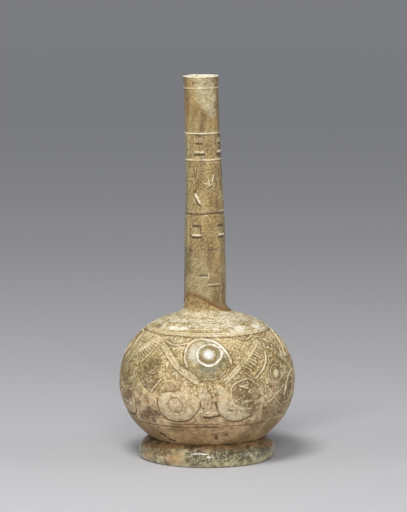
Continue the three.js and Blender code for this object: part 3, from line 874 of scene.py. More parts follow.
# %% The bulb's inside
inner_radius = bulb_radius - bulb_wall
bore_foot = neck_foot_radius - neck_foot_wall
bore_fillet = fillet(bore_foot, bulb_wall, 8)
inner_dome = quarter(inner_radius, dome_height - bulb_wall, dome_power, 0,
                     angle_at(bore_fillet[0][0], inner_radius, dome_power), 9)
inner_bowl = quarter(inner_radius, bulb_wall - bowl_depth, bowl_power, 0,
                     angle_at(kick_radius, inner_radius, bowl_power), 9)
floor_share = np.array([0.5, 0.0])
inner_floor = (kick_radius * floor_share, inner_bowl[1][-1] + kick_rise * (1 - floor_share ** 2))
inner_across, inner_up = (
    np.concatenate((bore_fillet[axis][::-1][3:], inner_dome[axis][::-1][1:], inner_bowl[axis][1:],
                    inner_floor[axis])) for axis in (0, 1))
edge_height = break_at(bulb_turn, bore_foot / neck_foot_radius) - break_half
inner_rows = [carried(bore_foot, edge_height, bulb_turn)]
inner_rows += [carried(across, np.minimum(up, edge_height - 0.3), bulb_turn)
               for across, up in zip(inner_across, inner_up)]
bulb_place = np.concatenate((outer_skin, np.stack(inner_rows)))

# %% [markdown]
# ## Patches placed one by one
# Besides the ridges and pits, patches are placed where the photograph has them: pale blooms of iridescent
# crust, brown stains, olive ground, broad darker ground that is painted shading at the bulb's edges and
# lower sides and brown tone elsewhere, and inside each medallion a silvery painted reflection and murky
# dirt. Each is a soft round spot, given by its turn, climb and radius. The materials break the spots' edges
# up with noise, so nothing finer is needed.

# %% Tables of patches on the bulb
bloom_places = (
    (-27, 89, 5), (-38, 88, 5), (-5, 95, 4), (9, 88, 3), (36, 88, 5), (62, 86, 5), (-28, 42, 4.5),
    (-32, 37, 3), (-13, 33, 3), (10, 38, 3.5), (13, 34, 4), (63, 52, 5), (68, 63, 5), (-68, 46, 2.5),
    (-2, 44, 4), (9, 46, 3), (17, 30.5, 4), (23, 29.5, 3), (118, 88, 8), (-120, 90, 8), (170, 87, 7),
    (96, 36, 6), (-86, 35, 6), (-160, 37, 7)
)
stain_places = (
    (-42, 31.5, 5), (-48, 29, 4), (-37, 30, 4), (-53, 27, 3.5), (-61, 40.5, 5.5), (-66, 38.5, 4.5),
    (-41, 26, 3), (7, 16, 2), (15, 16.5, 2.2), (128, 30, 6), (-150, 26, 7), (172, 40, 3)
)
# Darker patches: painted shading at the bulb's edges and lower sides, and brown tone in the rest.
shade_and_brown_places = (
    (-17, 89.5, 3), (22, 92, 3), (-62, 87, 4), (-70, 50, 10), (-39, 50, 7), (-43, 40, 3), (-52, 36, 4),
    (31, 35, 6.5), (26, 42, 7), (50, 30, 11), (-48, 14, 11), (60, 34, 11), (72, 44, 7), (-80, 56, 13),
    (-86, 74, 9), (-86, 44, 10), (-24, 22, 6), (38, 22, 8), (34, 12, 8), (58, 18, 12), (24, 5, 9),
    (40, 4, 9), (-72, 20, 14), (-60, 12, 12), (-84, 40, 12), (84, 30, 14), (140, 24, 16), (-140, 20, 16)
)
olive_places = (
    (36, 17, 8), (48, 19, 8), (-62, 44, 7), (-50, 44.5, 6), (-42, 48, 5), (-5, 56.5, 3), (1, 55.5, 3),
    (-66, 64, 13), (-60, 50, 10), (-46, 57, 9), (-30, 76, 7), (63, 60, 6), (-20, 60, 5), (150, 60, 14),
    (-130, 62, 12), (110, 52, 9)
)
# Painted reflection: a silvery sheen at the upper left of each medallion's glass.
painted_reflection_places = (
    (-9, 71, 3.5), (-5, 74.5, 2.5), (-10.5, 67, 3), (-8, 64, 2), (1, 76.5, 1.5)
)
murk_places = (
    (-3, 59.8, 2), (1, 59, 2.2), (5, 59.3, 2.4), (9, 61.2, 2.4), (12, 64, 2), (13.4, 67, 1.5),
    (4, 56, 1.5)
)


def on_faces(places):
    """The places repeated on the four faces, mirrored in turn."""
    return [(90 * index + turn * (1 - 2 * (index % 2)), climb, radius)
            for index in range(4) for turn, climb, radius in places]


def spots(wall, places):
    """Soft round spots: e to the power of minus the square of the share of the radius."""
    total = np.zeros((len(wall.climb), len(wall.turn)))
    for turn, climb, radius in places:
        window, away = wall.round((turn, climb), radius * 1.6)
        raise_to(total, window, np.exp(-(away / radius) ** 2))
    return total


# %% [markdown]
# ## Marks for the bulb's material
# Everything that the material has to know is stored on the mesh as an attribute, one number for each point.
# The strips between the bands count as faint ridges, more at the front than at the sides. Painted on a
# picture, these marks would need an unwrapped map, with seams.

# %% Make the bulb
inside = np.zeros((len(inner_rows), bulb_columns))
stub_rows_count = len(outer_climb) - len(plain_rows)


def bulb_field(values, stub=0.0):
    """A field for every point of the bulb: the relief's rows, the stub's rows and the inside."""
    return np.concatenate((values, np.full((stub_rows_count, bulb_columns), float(stub)), inside))


below_rings = 1 - smoothstep(79, 80.5, climb_column)
ridge_share = 0.4 + 0.6 * np.maximum(worn, 0.5 * below_rings)
strip_share = 0.38 + 0.12 * np.cos(np.radians(2 * bulb_turn))
beside = beside_ridge * carved * (1 - bulb_carving.ridge) * (1 - 0.85 * bulb_carving.plateau)
hollow = beside + 0.6 * bulb_carving.cut + 0.7 * bulb_carving.rough
# The eye field marks the bosses, whose near-white colour is a painted highlight.
bulb_fields = {
    "ridge": bulb_field(np.maximum(bulb_carving.ridge * ridge_share, strip_share * bulb_carving.plateau)),
    "groove": bulb_field(np.clip(bulb_carving.cut, 0, 1)),
    "crust": bulb_field(crust, 0.5),
    "hollow": bulb_field(np.clip(hollow, 0, 1)),
    "pit": bulb_field(bulb_pits),
    "field": bulb_field(np.clip(bulb_carving.field, 0, 1)),
    "eye": bulb_field(boss_highlight_mask),
    "mend": np.concatenate((np.exp(-np.abs(outer_climb - stub_end) / 2.4), inside)),
}
# The shade patches are painted shading at the edges and lower sides and brown tone elsewhere.
bulb_patches = {"olive": olive_places, "shade": shade_and_brown_places, "bloom": bloom_places, "stain": stain_places,
                "glow": on_faces(painted_reflection_places), "murk": on_faces(murk_places)}
for label, places in bulb_patches.items():
    bulb_fields[label] = bulb_field(spots(bulb_carving, places))
bulb = skin("bulb_glass", leaned(bulb_place), poles=True, fields=bulb_fields)

# %% [markdown]
# ## The neck
# The neck is carved in the same way, with plain rings and short bars in bands, which repeat round it. Its
# grid starts on the broken edge, goes up outside, over the lip and down the bore, and closes on itself. As
# one loop of rows it needs no Boolean for its bore.

# %% The neck's grid
neck_columns = 232
neck_turn = turns_of(neck_columns)
neck_low = break_at(neck_turn) + break_half
lip_start = rim_height - lip_rounding
shaft_low = 100.5
foot_share = np.linspace(0, 1, 34, endpoint=False)
foot_rows = neck_low + foot_share[:, None] * (shaft_low - neck_low)
shaft_rows = np.linspace(shaft_low, lip_start, 250)
neck_height = np.vstack((foot_rows, np.repeat(shaft_rows[:, None], neck_columns, axis=1)))
neck_outer_radius = wall_outline.at(wall_outline.climb_at(neck_height, widest_height))[0]
shaft = slice(len(foot_rows), None)
neck_base = carried(neck_outer_radius, neck_height, neck_turn)
neck_carving = Carving(neck_turn, shaft_rows, neck_radius_at(shaft_rows), sway=0.05)
print("neck grid: %d rows by %d columns" % neck_height.shape)

# %% Rings and strips
ring_sway = 0.45 * np.sin(np.radians(neck_turn))
neck_rings = ((218.0, 0.7, 0.9), (191.8, 0.8, 1.0), (176.3, 0.9, 1.0), (146.2, 0.9, 0.5))
for ring_height, ring_width, ring_rise in neck_rings:
    neck_carving.level_ridge(ring_height, ring_sway * (ring_height < 150), ring_width, ring_rise)
under_sway = 0.3 * np.sin(np.radians(3 * neck_turn))
neck_carving.level_groove(144.6, under_sway, 0.9, 0.8, flat=0.1)

strip_paleness = np.zeros(neck_carving.ridge.shape)
upright_strips = ((-70, 16, 125, 191, 0.8), (110, 16, 125, 191, 0.35),
                  (60, 15, 147.5, 175, 0), (-120, 15, 147.5, 175, 0))
for at, half, low, high, paleness in upright_strips:
    away = np.abs(turn_between(neck_turn, at)) - half
    beyond = np.abs(shaft_rows - (low + high) / 2) - (high - low) / 2
    body = (1 - smoothstep(-1.2, 1.2, away)) * (1 - smoothstep(-0.3, 0.3, beyond))[:, None]
    raise_to(neck_carving.plateau, slice(None), body)
    raise_to(strip_paleness, slice(None), paleness * body)

# %% [markdown]
# ## The neck's motifs
# Each zone of the neck has its own motif: upright branches, stepped bars, sprays, hooks, sunk frames and
# open steps. As on the bulb, each is a table of lines, and the pairs of turns repeat it at the back.

# %% Motifs of the neck
branch_lines = (
    ("groove", 1.5, 0.45, [(-16, 173), (-17, 149)]),
    ("groove", 1.2, 0.5, [(-4, 170), (1, 163), (-3, 158)]),
    ("ridge", 1.0, 0.4, [(-12, 172.5), (-6, 170), (-13, 166)]),
    ("ridge", 1.3, 0.55, [(-14, 165), (-6, 160), (-2, 154.5), (-9, 149.8)]),
    ("ridge", 0.9, 0.8, [(18, 174), (15, 164), (19, 152)]),
)
step_lines = (
    ("ridge", 0.8, 0.8, [(-14, 188.2), (10, 188.2)]),
    ("ridge", 0.6, 1.0, [(-14, 186.9), (10, 186.9)]),
    ("ridge", 1.3, 1.0, [(-15, 180.9), (17, 180.9)]),
    ("groove", 1.5, 0.6, [(-10, 190.2), (10, 190.2)]),
    ("groove", 1.0, 1.0, [(-9, 185.6), (13, 185.5)]),
    ("groove", 1.3, 1.0, [(-15, 179.2), (17, 179.2)]),
)
spray_lines = (
    ("ridge", 0.8, 0.7, [(10, 172), (5, 168.5), (1, 166)]),
    ("groove", 0.8, 0.8, [(-9, 171), (-5, 166), (3, 170)]),
    ("ridge", 1.3, 1.0, [(-4, 156.4), (3, 154), (12, 151.3)]),
    ("groove", 1.2, 0.8, [(-10, 157.6), (-3, 158)]),
    ("groove", 1.1, 0.9, [(-3, 153), (4, 150.6), (13, 149.4)]),
)
hook_lines = (
    ("ridge", 0.7, 0.9, [(-17, 162.7), (-3, 162.2)]),
    ("ridge", 0.8, 0.8, [(-1, 164.5), (1, 161), (8, 162.2), (16, 167)]),
    ("groove", 1.0, 0.7, [(-17, 160.5), (-12, 160)]),
    ("groove", 0.9, 0.8, [(1, 159.6), (11, 161)]),
)
open_step_lines = (
    ("ridge", 1.1, 1.0, [(-16, 103.5), (17, 103.5)]),
    ("groove", 1.1, 0.8, [(-15, 123.8), (15, 123.8)]),
    ("ridge", 0.9, 1.0, [(-15.6, 110), (-16.2, 105.6)]),
    ("ridge", 0.6, 0.35, [(-16.5, 123), (-16.5, 112)]),
    ("groove", 1.0, 0.6, [(-15, 102.2), (15, 102.2)]),
    ("groove", 1.1, 0.9, [(-40, 108.8), (-18, 108.8)]),
    ("groove", 1.2, 0.9, [(-77, 123), (-65, 123.2)]),
)


def frame_lines(ring_rise):
    """Bars round a sunk rectangle: the lower one stands highest and the upper one has nearly gone. The ring
    above them is worn to a height that differs from place to place."""
    return (
        ("ridge", 1.1, 1.0, [(-12, 132.4), (12, 132.4)]),
        ("ridge", 0.6, 0.35, [(-12, 138.6), (12, 138.6)]),
        ("ridge", 0.7, 0.5, [(-12, 132.4), (-12, 138.6)]),
        ("ridge", 0.8, ring_rise, [(-14, 146.2), (34, 146.2)]),
        ("groove", 1.2, 1.0, [(-13, 130.8), (12, 130.8)]),
        ("groove", 1.2, 1.1, [(-12, 137.6), (12, 137.6)]),
        ("groove", 1.1, 0.8, [(12, 137), (12, 134)]),
    )


worn_frame, sharp_frame = frame_lines(0.45), frame_lines(0.9)

# %% Cut the neck
neck_motifs = [(at, branch_lines) for at in (60, -120)]
neck_motifs += [(at, step_lines) for at in (-15, 73, 163, -107)]
neck_motifs += [(at, spray_lines) for at in (-25, 155)]
neck_motifs += [(at, hook_lines) for at in (17, -163)]
neck_motifs += [(-25, worn_frame), (58, sharp_frame), (148, worn_frame), (-115, sharp_frame)]
neck_motifs += [(at, open_step_lines) for at in (25, -155)]
for at, motif in neck_motifs:
    cut_lines(neck_carving, at, 1, motif)
print("ridges cover %.0f%% of the neck" % (100 * neck_carving.ridge.mean()))

# %% [markdown]
# ## The neck's relief
# It is made up as the bulb's was. Four small pits near the lip are placed one by one, because the
# photograph shows them as dark dots.

# %% The relief of the neck
neck_rot = np.clip(0.25 + 0.7 * cloud(neck_base[shaft], 12, 21), 0, 1)
neck_pits = pitted(neck_carving, 0.5 * neck_rot, count=2600, seed=22, sizes=(0.35, 0.7))
dark_dots = (((-28, 221), 1.2), ((13, 220.5), 0.9), ((-20, 218), 0.8), ((33, 219.5), 0.6))
for pit_place, pit_radius in dark_dots:
    window, away = neck_carving.round(pit_place, pit_radius)
    raise_to(neck_pits, window, 1 - smoothstep(0.3 * pit_radius, pit_radius, away))
neck_worn = smoothstep(-0.6, 0.4, cloud(neck_base[shaft], 6, 23))
sunk = 0.12 * smoothstep(104, 112, shaft_rows[:, None])
strip_height, neck_ridge_height, neck_ridge_wear = 0.3, 0.42, 0.18
neck_groove_depth, neck_pit_depth = 0.4, 0.3
neck_relief = -sunk * (0.75 + 0.5 * neck_carving.closeness())
neck_relief = mixed(neck_relief, strip_height, neck_carving.plateau)
neck_ridge_top = neck_ridge_height - neck_ridge_wear * (1 - neck_worn)
neck_relief = mixed(neck_relief, neck_ridge_top, np.clip(neck_carving.ridge, 0, 1))
neck_relief -= neck_groove_depth * neck_carving.cut + neck_pit_depth * neck_pits
full_relief = np.zeros(neck_height.shape)
full_relief[shaft] = neck_relief
full_relief += 0.12 * (cloud(neck_base, 14, 24) - 0.3) + 0.05 * cloud(neck_base, 3, 25)
full_relief += 0.04 * cloud(neck_base, 1.4, 27)
neck_outer = carried(neck_outer_radius + full_relief, neck_height, neck_turn)

# %% [markdown]
# ## The lip and the bore
# The lip was rounded in the fire and has chipped a little since. Its section is two quarters of a circle
# with a flat between them. The bore's rows then go down to the broken edge, where the first row waits. A
# Bevel modifier would round it evenly, and these rows can lose height where the lip is chipped.

# %% The lip and the bore
lip_angle = np.linspace(0, math.pi / 2, 5)
chips = 0.18 * (cloud(carried(neck_shaft_radius, rim_height, neck_turn), 5, 26) - 1)
lip_outer = neck_radius_at(rim_height) - lip_rounding
lip_inner = bore_radius_at(rim_height) + lip_rounding
lip_top = lip_rounding + chips
lip_rows = [carried(lip_outer + lip_rounding * math.cos(angle), lip_start + lip_top * math.sin(angle),
                    neck_turn) for angle in lip_angle[1:]]
lip_rows += [carried(lip_inner - lip_rounding * math.sin(angle), lip_start + lip_top * math.cos(angle),
                     neck_turn) for angle in lip_angle]
bore_rows = [carried(bore_radius_at(height), height, neck_turn)
             for height in np.linspace(lip_start, 100, 14)[1:]]
bore_edge = break_at(neck_turn, bore_foot / neck_foot_radius) + break_half
bore_rows += [carried(bore_foot, mixed(100, bore_edge, share), neck_turn) for share in (0.5, 1.0)]
neck_place = np.concatenate((neck_outer, np.stack(lip_rows + bore_rows)))

# %% [markdown]
# ## Marks for the neck's material
# Pale, golden and greenish zones are placed as on the bulb, because the neck changes from honey to
# grey-green along its length.

# %% Tables of patches on the neck
pale_places = (
    (14, 215, 7), (26, 208, 5), (6, 222, 6), (30, 220, 5), (42, 212, 4), (38, 204, 4), (-15, 108, 6),
    (-12, 101, 7), (-48, 106, 5), (-24, 115, 6), (-2, 112, 4), (60, 112, 4), (-25, 135.5, 2),
    (58, 135.5, 2.4), (160, 210, 8), (-150, 200, 7), (170, 120, 8), (-130, 110, 7)
)
gold_places = (
    (-46, 218, 5), (-42, 208, 7), (-28, 206, 6), (52, 199, 6), (26, 153, 6), (8, 140, 7), (20, 128, 6),
    (35, 142, 5), (40, 119, 5), (-30, 160, 5), (30, 172, 5), (150, 160, 10), (-140, 150, 9), (120, 130, 9)
)
green_places = (
    (-74, 119, 7), (-78, 112, 5), (-70, 123, 3), (178, 140, 6)
)

# %% Make the neck
def neck_field(values, lip=0.0):
    """A field for every point of the neck: the shaft's rows, whose lowest goes on down the foot, the lip
    and the bore."""
    lower = np.repeat(values[:1], len(foot_rows), axis=0)
    upper = np.full((len(lip_rows), neck_columns), float(lip))
    return np.concatenate((lower, values, upper, np.zeros((len(bore_rows), neck_columns))))


lip_near = smoothstep(rim_height - 0.8, rim_height - 0.3, shaft_rows[:, None])
near_ridge = neck_carving.closeness() * (1 - neck_carving.ridge)
off_outside = np.zeros((len(lip_rows) + len(bore_rows), neck_columns))
neck_fields = {
    "groove": neck_field(np.clip(neck_carving.cut, 0, 1)),
    "pale": neck_field(np.maximum(spots(neck_carving, pale_places), strip_paleness)),
    "gold": neck_field(spots(neck_carving, gold_places)),
    "green": neck_field(np.maximum(spots(neck_carving, green_places), 0.7 * strip_paleness)),
    "ridge": neck_field(np.maximum(neck_carving.ridge * (0.6 + 0.4 * neck_worn), 0.75 * lip_near), lip=0.9),
    "hollow": neck_field(np.clip(0.55 * near_ridge + 0.6 * neck_carving.cut, 0, 1)),
    "pit": neck_field(neck_pits),
    "mend": np.concatenate((np.exp(-(neck_height - neck_low) / 3.0), off_outside)),
}
neck = skin("neck_glass", leaned(neck_place), fields=neck_fields)

# %% [markdown]
# ## The resin in the break
# The restorer's glue was brushed between the two edges and squeezed out a little. It is a thin ring that
# follows the same break, with a bead outside that swells and shrinks. Its rows come from the break's own
# formula, so it fits both edges at every turn, which a plain tube wouldn't.

# %% Make the resin film
resin_turn = turns_of(220)
resin_half = break_half - 0.02
resin_middle = break_at(resin_turn)
squeeze = 0.08 + 0.12 * cloud(carried(neck_foot_radius, resin_middle, resin_turn), 4, 31)
resin_rows = []
for share in np.linspace(-1, 1, 7):
    height = resin_middle + resin_half * share
    radius = wall_outline.at(wall_outline.climb_at(height, widest_height))[0]
    resin_rows.append(carried(radius + (squeeze + 0.12) * (1 - share ** 2) - 0.12, height, resin_turn))
for share in (1, -1):
    height = break_at(resin_turn, bore_foot / neck_foot_radius) + resin_half * share
    resin_rows.append(carried(bore_foot + 0.1, height, resin_turn))
resin = skin("mend_film", leaned(np.stack(resin_rows)))

# %% [markdown]
# ## The foot ring
# A gather of hot glass was wound round the base and pressed into a rounded flange. It is lumpy, stands
# higher at the right, and is flat only where it rests. Its outline is a closed loop, carried round the
# axis: the flat that stands, the round toe, the flaring edge, and the seat that follows the bulb. A torus
# would be too round to stand and to seat the bulb.

# %% The foot's outline
foot_flare, foot_edge, foot_lift, foot_power = 6.7, 4.0, 1.5, 1.6
stand_inset, stand_width, seat_reach, fuse_gap = 2.4, 6.6, 7.4, 0.3
seat_radius, seat_depth = bulb_radius + fuse_gap, bowl_depth + fuse_gap
notch_share = (widest_height - foot_height) / seat_depth
notch_radius = seat_radius * (1 - notch_share ** bowl_power) ** (1 / bowl_power)
foot_radius = notch_radius + foot_flare
stand_radius = foot_radius - stand_inset

toe_angle = np.linspace(math.pi / 2, 0, 10)
toe = (stand_radius + stand_inset * np.cos(toe_angle), foot_edge - foot_edge * np.sin(toe_angle))
edge_angle = np.linspace(0, math.pi / 2, 34)[1:-1]
edge = (notch_radius + foot_flare * np.cos(edge_angle) ** (2 / foot_power),
        foot_edge + (foot_height - foot_edge) * np.sin(edge_angle) ** (2 / foot_power))
seat = quarter(seat_radius, -seat_depth, bowl_power, math.asin(notch_share ** (bowl_power / 2)),
               angle_at(notch_radius - seat_reach, seat_radius, bowl_power), 10)
stand_across = np.linspace(stand_radius - stand_width, stand_radius, 6)[:-1]
foot_across = np.concatenate((stand_across, toe[0], edge[0], seat[0]))
foot_up = np.concatenate((0 * stand_across, toe[1], edge[1], seat[1]))
print("foot ring: %.1f mm wide" % (2 * foot_radius))

# %% [markdown]
# ## The foot's lumps, dirt and painted shadow
# The glass was soft when it was pressed, so it has lumps, and a shallow crease runs where the brown band
# under the bulb ends: dirt, darkened further as painted shadow of the bulb. Specks and orange clay lie in
# patches on it.

# %% Make the foot ring
foot_turn = turns_of(420)
foot_base = carried(foot_across[:, None], foot_up[:, None], foot_turn)
right_share = (1 + np.sin(np.radians(foot_turn))) / 2
outer_share = smoothstep(stand_radius, foot_radius, foot_across)[:, None]
foot_base[..., 2] += foot_lift * right_share * outer_share
free_share = smoothstep(0.2, 2.5, foot_up) * smoothstep(notch_radius, notch_radius + 1.2, foot_across)
lumps = 0.3 * (cloud(foot_base, 9, 41) - 1) + 0.16 * (cloud(foot_base, 3, 42) - 1)
# The top of the brown band under the bulb: dirt with painted shadow.
dirt_and_shadow_edge = 10.5 - 2.7 * smoothstep(42, 74, np.abs(foot_turn)) + 0.4 * cloud(foot_base, 14, 43)
above_dirt_and_shadow_edge = foot_base[..., 2] - dirt_and_shadow_edge
crease = -0.35 * np.exp(-(above_dirt_and_shadow_edge / 0.55) ** 2)
foot_shift = (lumps + crease) * free_share[:, None]
foot_place = foot_base + foot_shift[..., None] * carried(1.0, 0.25, foot_turn)


def foot_patches(places):
    """Patches on the ring, each given by its turn, half its width in degrees, its height and half of that: e
    to the power of minus the square of the share across and the fourth power of the share up."""
    total = np.zeros(foot_base.shape[:2])
    for turn, half_turn, height, half_height in places:
        across = turn_between(foot_turn, turn) / half_turn
        up = (foot_base[..., 2] - height) / half_height
        total = np.maximum(total, np.exp(-across ** 2 - up ** 4))
    return total


speckled_places = ((-72, 12, 8, 5), (-48, 17, 8.5, 3.2), (-8, 13, 6, 4.5), (20, 24, 7, 3.4), (56, 22, 8, 3.4),
                   (110, 20, 6, 5), (165, 26, 8, 3), (-140, 24, 6, 4))
orange_places = ((-46, 20, 8.5, 3.6), (-30, 12, 5.5, 4.5), (-62, 10, 4, 3), (90, 10, 8, 4),
                 (-170, 12, 7, 4), (-110, 14, 9, 3))
foot = skin("foot_glass_ring", foot_place, fields={
    "grime": smoothstep(-1.0, 0.8, above_dirt_and_shadow_edge),
    "speckled": foot_patches(speckled_places),
    "orange": foot_patches(orange_places),
})

# %% [markdown]
# ## The pontil scar
# While its mouth was shaped, the bottle was held by an iron rod stuck to its base with a bit of glass.
# Breaking it off left a ragged ring in the kick, which is seen only from below. A torus is too even for it,
# so its section is dented by random hills, and its top follows the kick.

# %% Make the pontil scar
scar_turn, scar_width = turns_of(120), 3.3
scar_outer = (scar_high[0] - scar_low[0]) / 2
scar_inner = scar_outer - scar_width
scar_middle, scar_half = (scar_outer + scar_inner) / 2, (scar_outer - scar_inner) / 2
scar_angle = np.linspace(0, 2 * math.pi, 20, endpoint=False)
ragged = 0.25 * cloud(carried(scar_middle, 0.0, scar_turn), 1.6, 51) - 0.25
scar_reach = scar_middle + (scar_half + 0.4 * np.minimum(ragged, 0)) * np.cos(scar_angle)[:, None]
scar_roof = kick_foot + kick_rise * (1 - (scar_reach / kick_radius) ** 2) - 0.3
scar_drop = np.clip(np.sin(scar_angle), 0, 1)[:, None] ** 0.7 * (1.1 + 1.6 * ragged)
scar = skin("pontil_stub", carried(scar_reach, scar_roof - np.maximum(scar_drop, 0), scar_turn))

# %% [markdown]
# ## Writing shader maths
# A material is a graph of nodes. Written out one link at a time it is unreadable, so a small class wraps an
# output socket: adding or multiplying two of them adds a Math node. Everything else goes through one method
# that takes a node's type, its settings and what its sockets get.

# %% Wires
class Wire:
    """An output socket. Sums and products of wires and numbers add Math nodes, and the reflected forms make
    1 - mask work too."""

    def __init__(self, finish, socket):
        self.finish, self.socket = finish, socket

    def math(self, operation, first, second):
        """A Math node on two wires or numbers."""
        return self.finish.node("ShaderNodeMath", {"operation": operation}, {0: first, 1: second})

    # The signs +, - and * then write a Math node, with the wire on either side of them.
    def __add__(self, other):
        return self.math("ADD", self, other)

    def __sub__(self, other):
        return self.math("SUBTRACT", self, other)

    def __rsub__(self, other):
        return self.math("SUBTRACT", other, self)

    def __mul__(self, other):
        return self.math("MULTIPLY", self, other)

    __radd__ = __add__
    __rmul__ = __mul__


def tint(red, green, blue):
    """A colour given as it looks on screen, 0 to 255, turned into the linear values that shaders use: a
    straight line near black, and a power of 2.4 above."""
    share = np.array((red, green, blue)) / 255
    linear = np.where(share <= 0.04045, share / 12.92, ((share + 0.055) / 1.055) ** 2.4)
    return (*map(float, linear), 1.0)


# %% [markdown]
# ## A material and its nodes
# The patterns read Object coordinates, so they stay on the piece. A colour is written as three levels from
# 0 to 255, as they look on screen. `rise` makes a mask with a soft edge, `blend` mixes two colours by a
# mask, and `tones` does both at once, because most colours here are a dark and a light tone mixed by a
# noise. `layers` stacks them as dirt and crust were laid on the glass, the oldest first.

# %% Finishes
class Finish:
    """A material and its nodes."""

    def __init__(self, name):
        self.material = bpy.data.materials.new(name)
        self.material.use_nodes = True
        self.tree = self.material.node_tree
        self.tree.nodes.clear()
        self.place = self.node("ShaderNodeTexCoord", output="Object")

    def node(self, kind, settings=None, sockets=None, output=0):
        """Adds a node, sets it, fills its sockets with wires or values, and returns an output."""
        made = self.tree.nodes.new(kind)
        for name, value in (settings or {}).items():
            setattr(made, name, value)
        for name, value in (sockets or {}).items():
            if isinstance(value, Wire):
                self.tree.links.new(value.socket, made.inputs[name])
            else:
                made.inputs[name].default_value = value
        return Wire(self, made.outputs[output])

    def marks(self, names):
        """The mesh's attributes, each under its own name."""
        return SimpleNamespace(**{
            name: self.node("ShaderNodeAttribute", {"attribute_name": name}, output="Fac")
            for name in names.split()})

    def height(self):
        """Height above the floor, in metres."""
        return self.node("ShaderNodeSeparateXYZ", sockets={0: self.place}, output="Z")

    def noise(self, scale, detail=3.0, roughness=0.55, vector=None):
        """Smooth random hills, scale of them to a metre, with ever smaller ones on top."""
        sockets = {"Vector": vector or self.place, "Scale": scale, "Detail": detail,
                   "Roughness": roughness, "Distortion": 0.0}
        return self.node("ShaderNodeTexNoise", sockets=sockets)

    def streaks(self, across, up, detail=4, roughness=0.55):
        """Noise that is stretched: so many hills to a metre across, and so many up."""
        sockets = {"Vector": self.place, "Scale": (across, across, up)}
        return self.noise(1.0, detail, roughness, self.node("ShaderNodeMapping", sockets=sockets))

    def rise(self, value, low, high):
        """0 below low, 1 above high, an S-shaped rise between; high below low turns it round."""
        sockets = {"Value": value, "From Min": low, "From Max": high}
        return self.node("ShaderNodeMapRange", {"interpolation_type": "SMOOTHSTEP"}, sockets)

    def blend(self, share, first, second):
        """A mix of two colours, each a wire or three levels from 0 to 255."""
        first, second = (colour if isinstance(colour, Wire) else tint(*colour) for colour in (first, second))
        return self.node("ShaderNodeMix", {"data_type": "RGBA"}, {0: share, 6: first, 7: second}, output=2)

    def tones(self, value, low, high, dark, light):
        """A dark tone where a value is below low, a light one where it is above high."""
        return self.blend(self.rise(value, low, high), dark, light)

    def layers(self, colour, *added):
        """Lays colours over a first one in turn, each by its own share."""
        for share, layer in added:
            colour = self.blend(share, colour, layer)
        return colour

    def bump(self, height, distance):
        """Dents and hills that are too fine for the mesh, given by how far a height of 1 stands out."""
        sockets = {"Height": height, "Distance": distance, "Strength": 1.0}
        return self.node("ShaderNodeBump", sockets=sockets)

    def surface(self, colour, roughness, normal, coat=None, **uniform):
        """The glass, resin or paper itself: varying colour, roughness and bump, and settings that are the
        same all over."""
        sockets = {"Base Color": colour, "Roughness": roughness, "Normal": normal, **uniform}
        if coat is not None:
            sockets["Coat Weight"] = coat
        shader = self.node("ShaderNodeBsdfPrincipled", sockets=sockets)
        end = self.tree.nodes.new("ShaderNodeOutputMaterial")
        self.tree.links.new(shader.socket, end.inputs["Surface"])
        return self.material


# %% [markdown]
# ## The bulb's finish
# From far off the bulb is tan. Close up it is a pale worn crust on the ridges, olive and brown dirt in the
# hollows and pits, a warmer peach below, a pale shoulder, and grey clear glass in the medallions where the
# crust has gone. Every mask is an attribute or a height, broken up by noise of about a millimetre. A
# picture wrapped round the bulb would fix one light and one side, and noises and attributes go all the way
# round.

# %% The bulb's noises and zones
peach_zone, base_zone = (0.056, 0.043), (0.031, 0.023)
shoulder_zone, collar_zone, upper_zone = (0.0755, 0.0795), (0.0868, 0.0895), (0.064, 0.078)


def bulb_zones(finish):
    """Noises from coarse to fine, the mesh's attributes, and soft zones between two heights in metres."""
    zone = finish.marks("ridge hollow pit field eye crust bloom stain mend groove olive shade glow murk")
    zone.up = up = finish.height()
    zone.broad, zone.medium, zone.fine = finish.noise(38), finish.noise(140, 4), finish.noise(820, 4, 0.7)
    zone.mottle, zone.grit = finish.noise(430, 5, 0.75), finish.noise(1050, 2, 0.7)
    zone.grain = zone.broad * 0.4 + zone.mottle * 0.6
    zone.lower = finish.rise(up + (zone.broad - 0.5) * 0.03, *peach_zone)
    zone.base = finish.rise(up + (zone.broad - 0.5) * 0.024, *base_zone)
    zone.shoulder = finish.rise(up + (zone.medium - 0.5) * 0.006, *shoulder_zone)
    zone.collar = finish.rise(up + (zone.mottle - 0.5) * 0.006, *collar_zone)
    zone.mossy = finish.rise(zone.olive + (zone.medium - 0.5) * 0.8, 0.25, 0.9)
    return zone


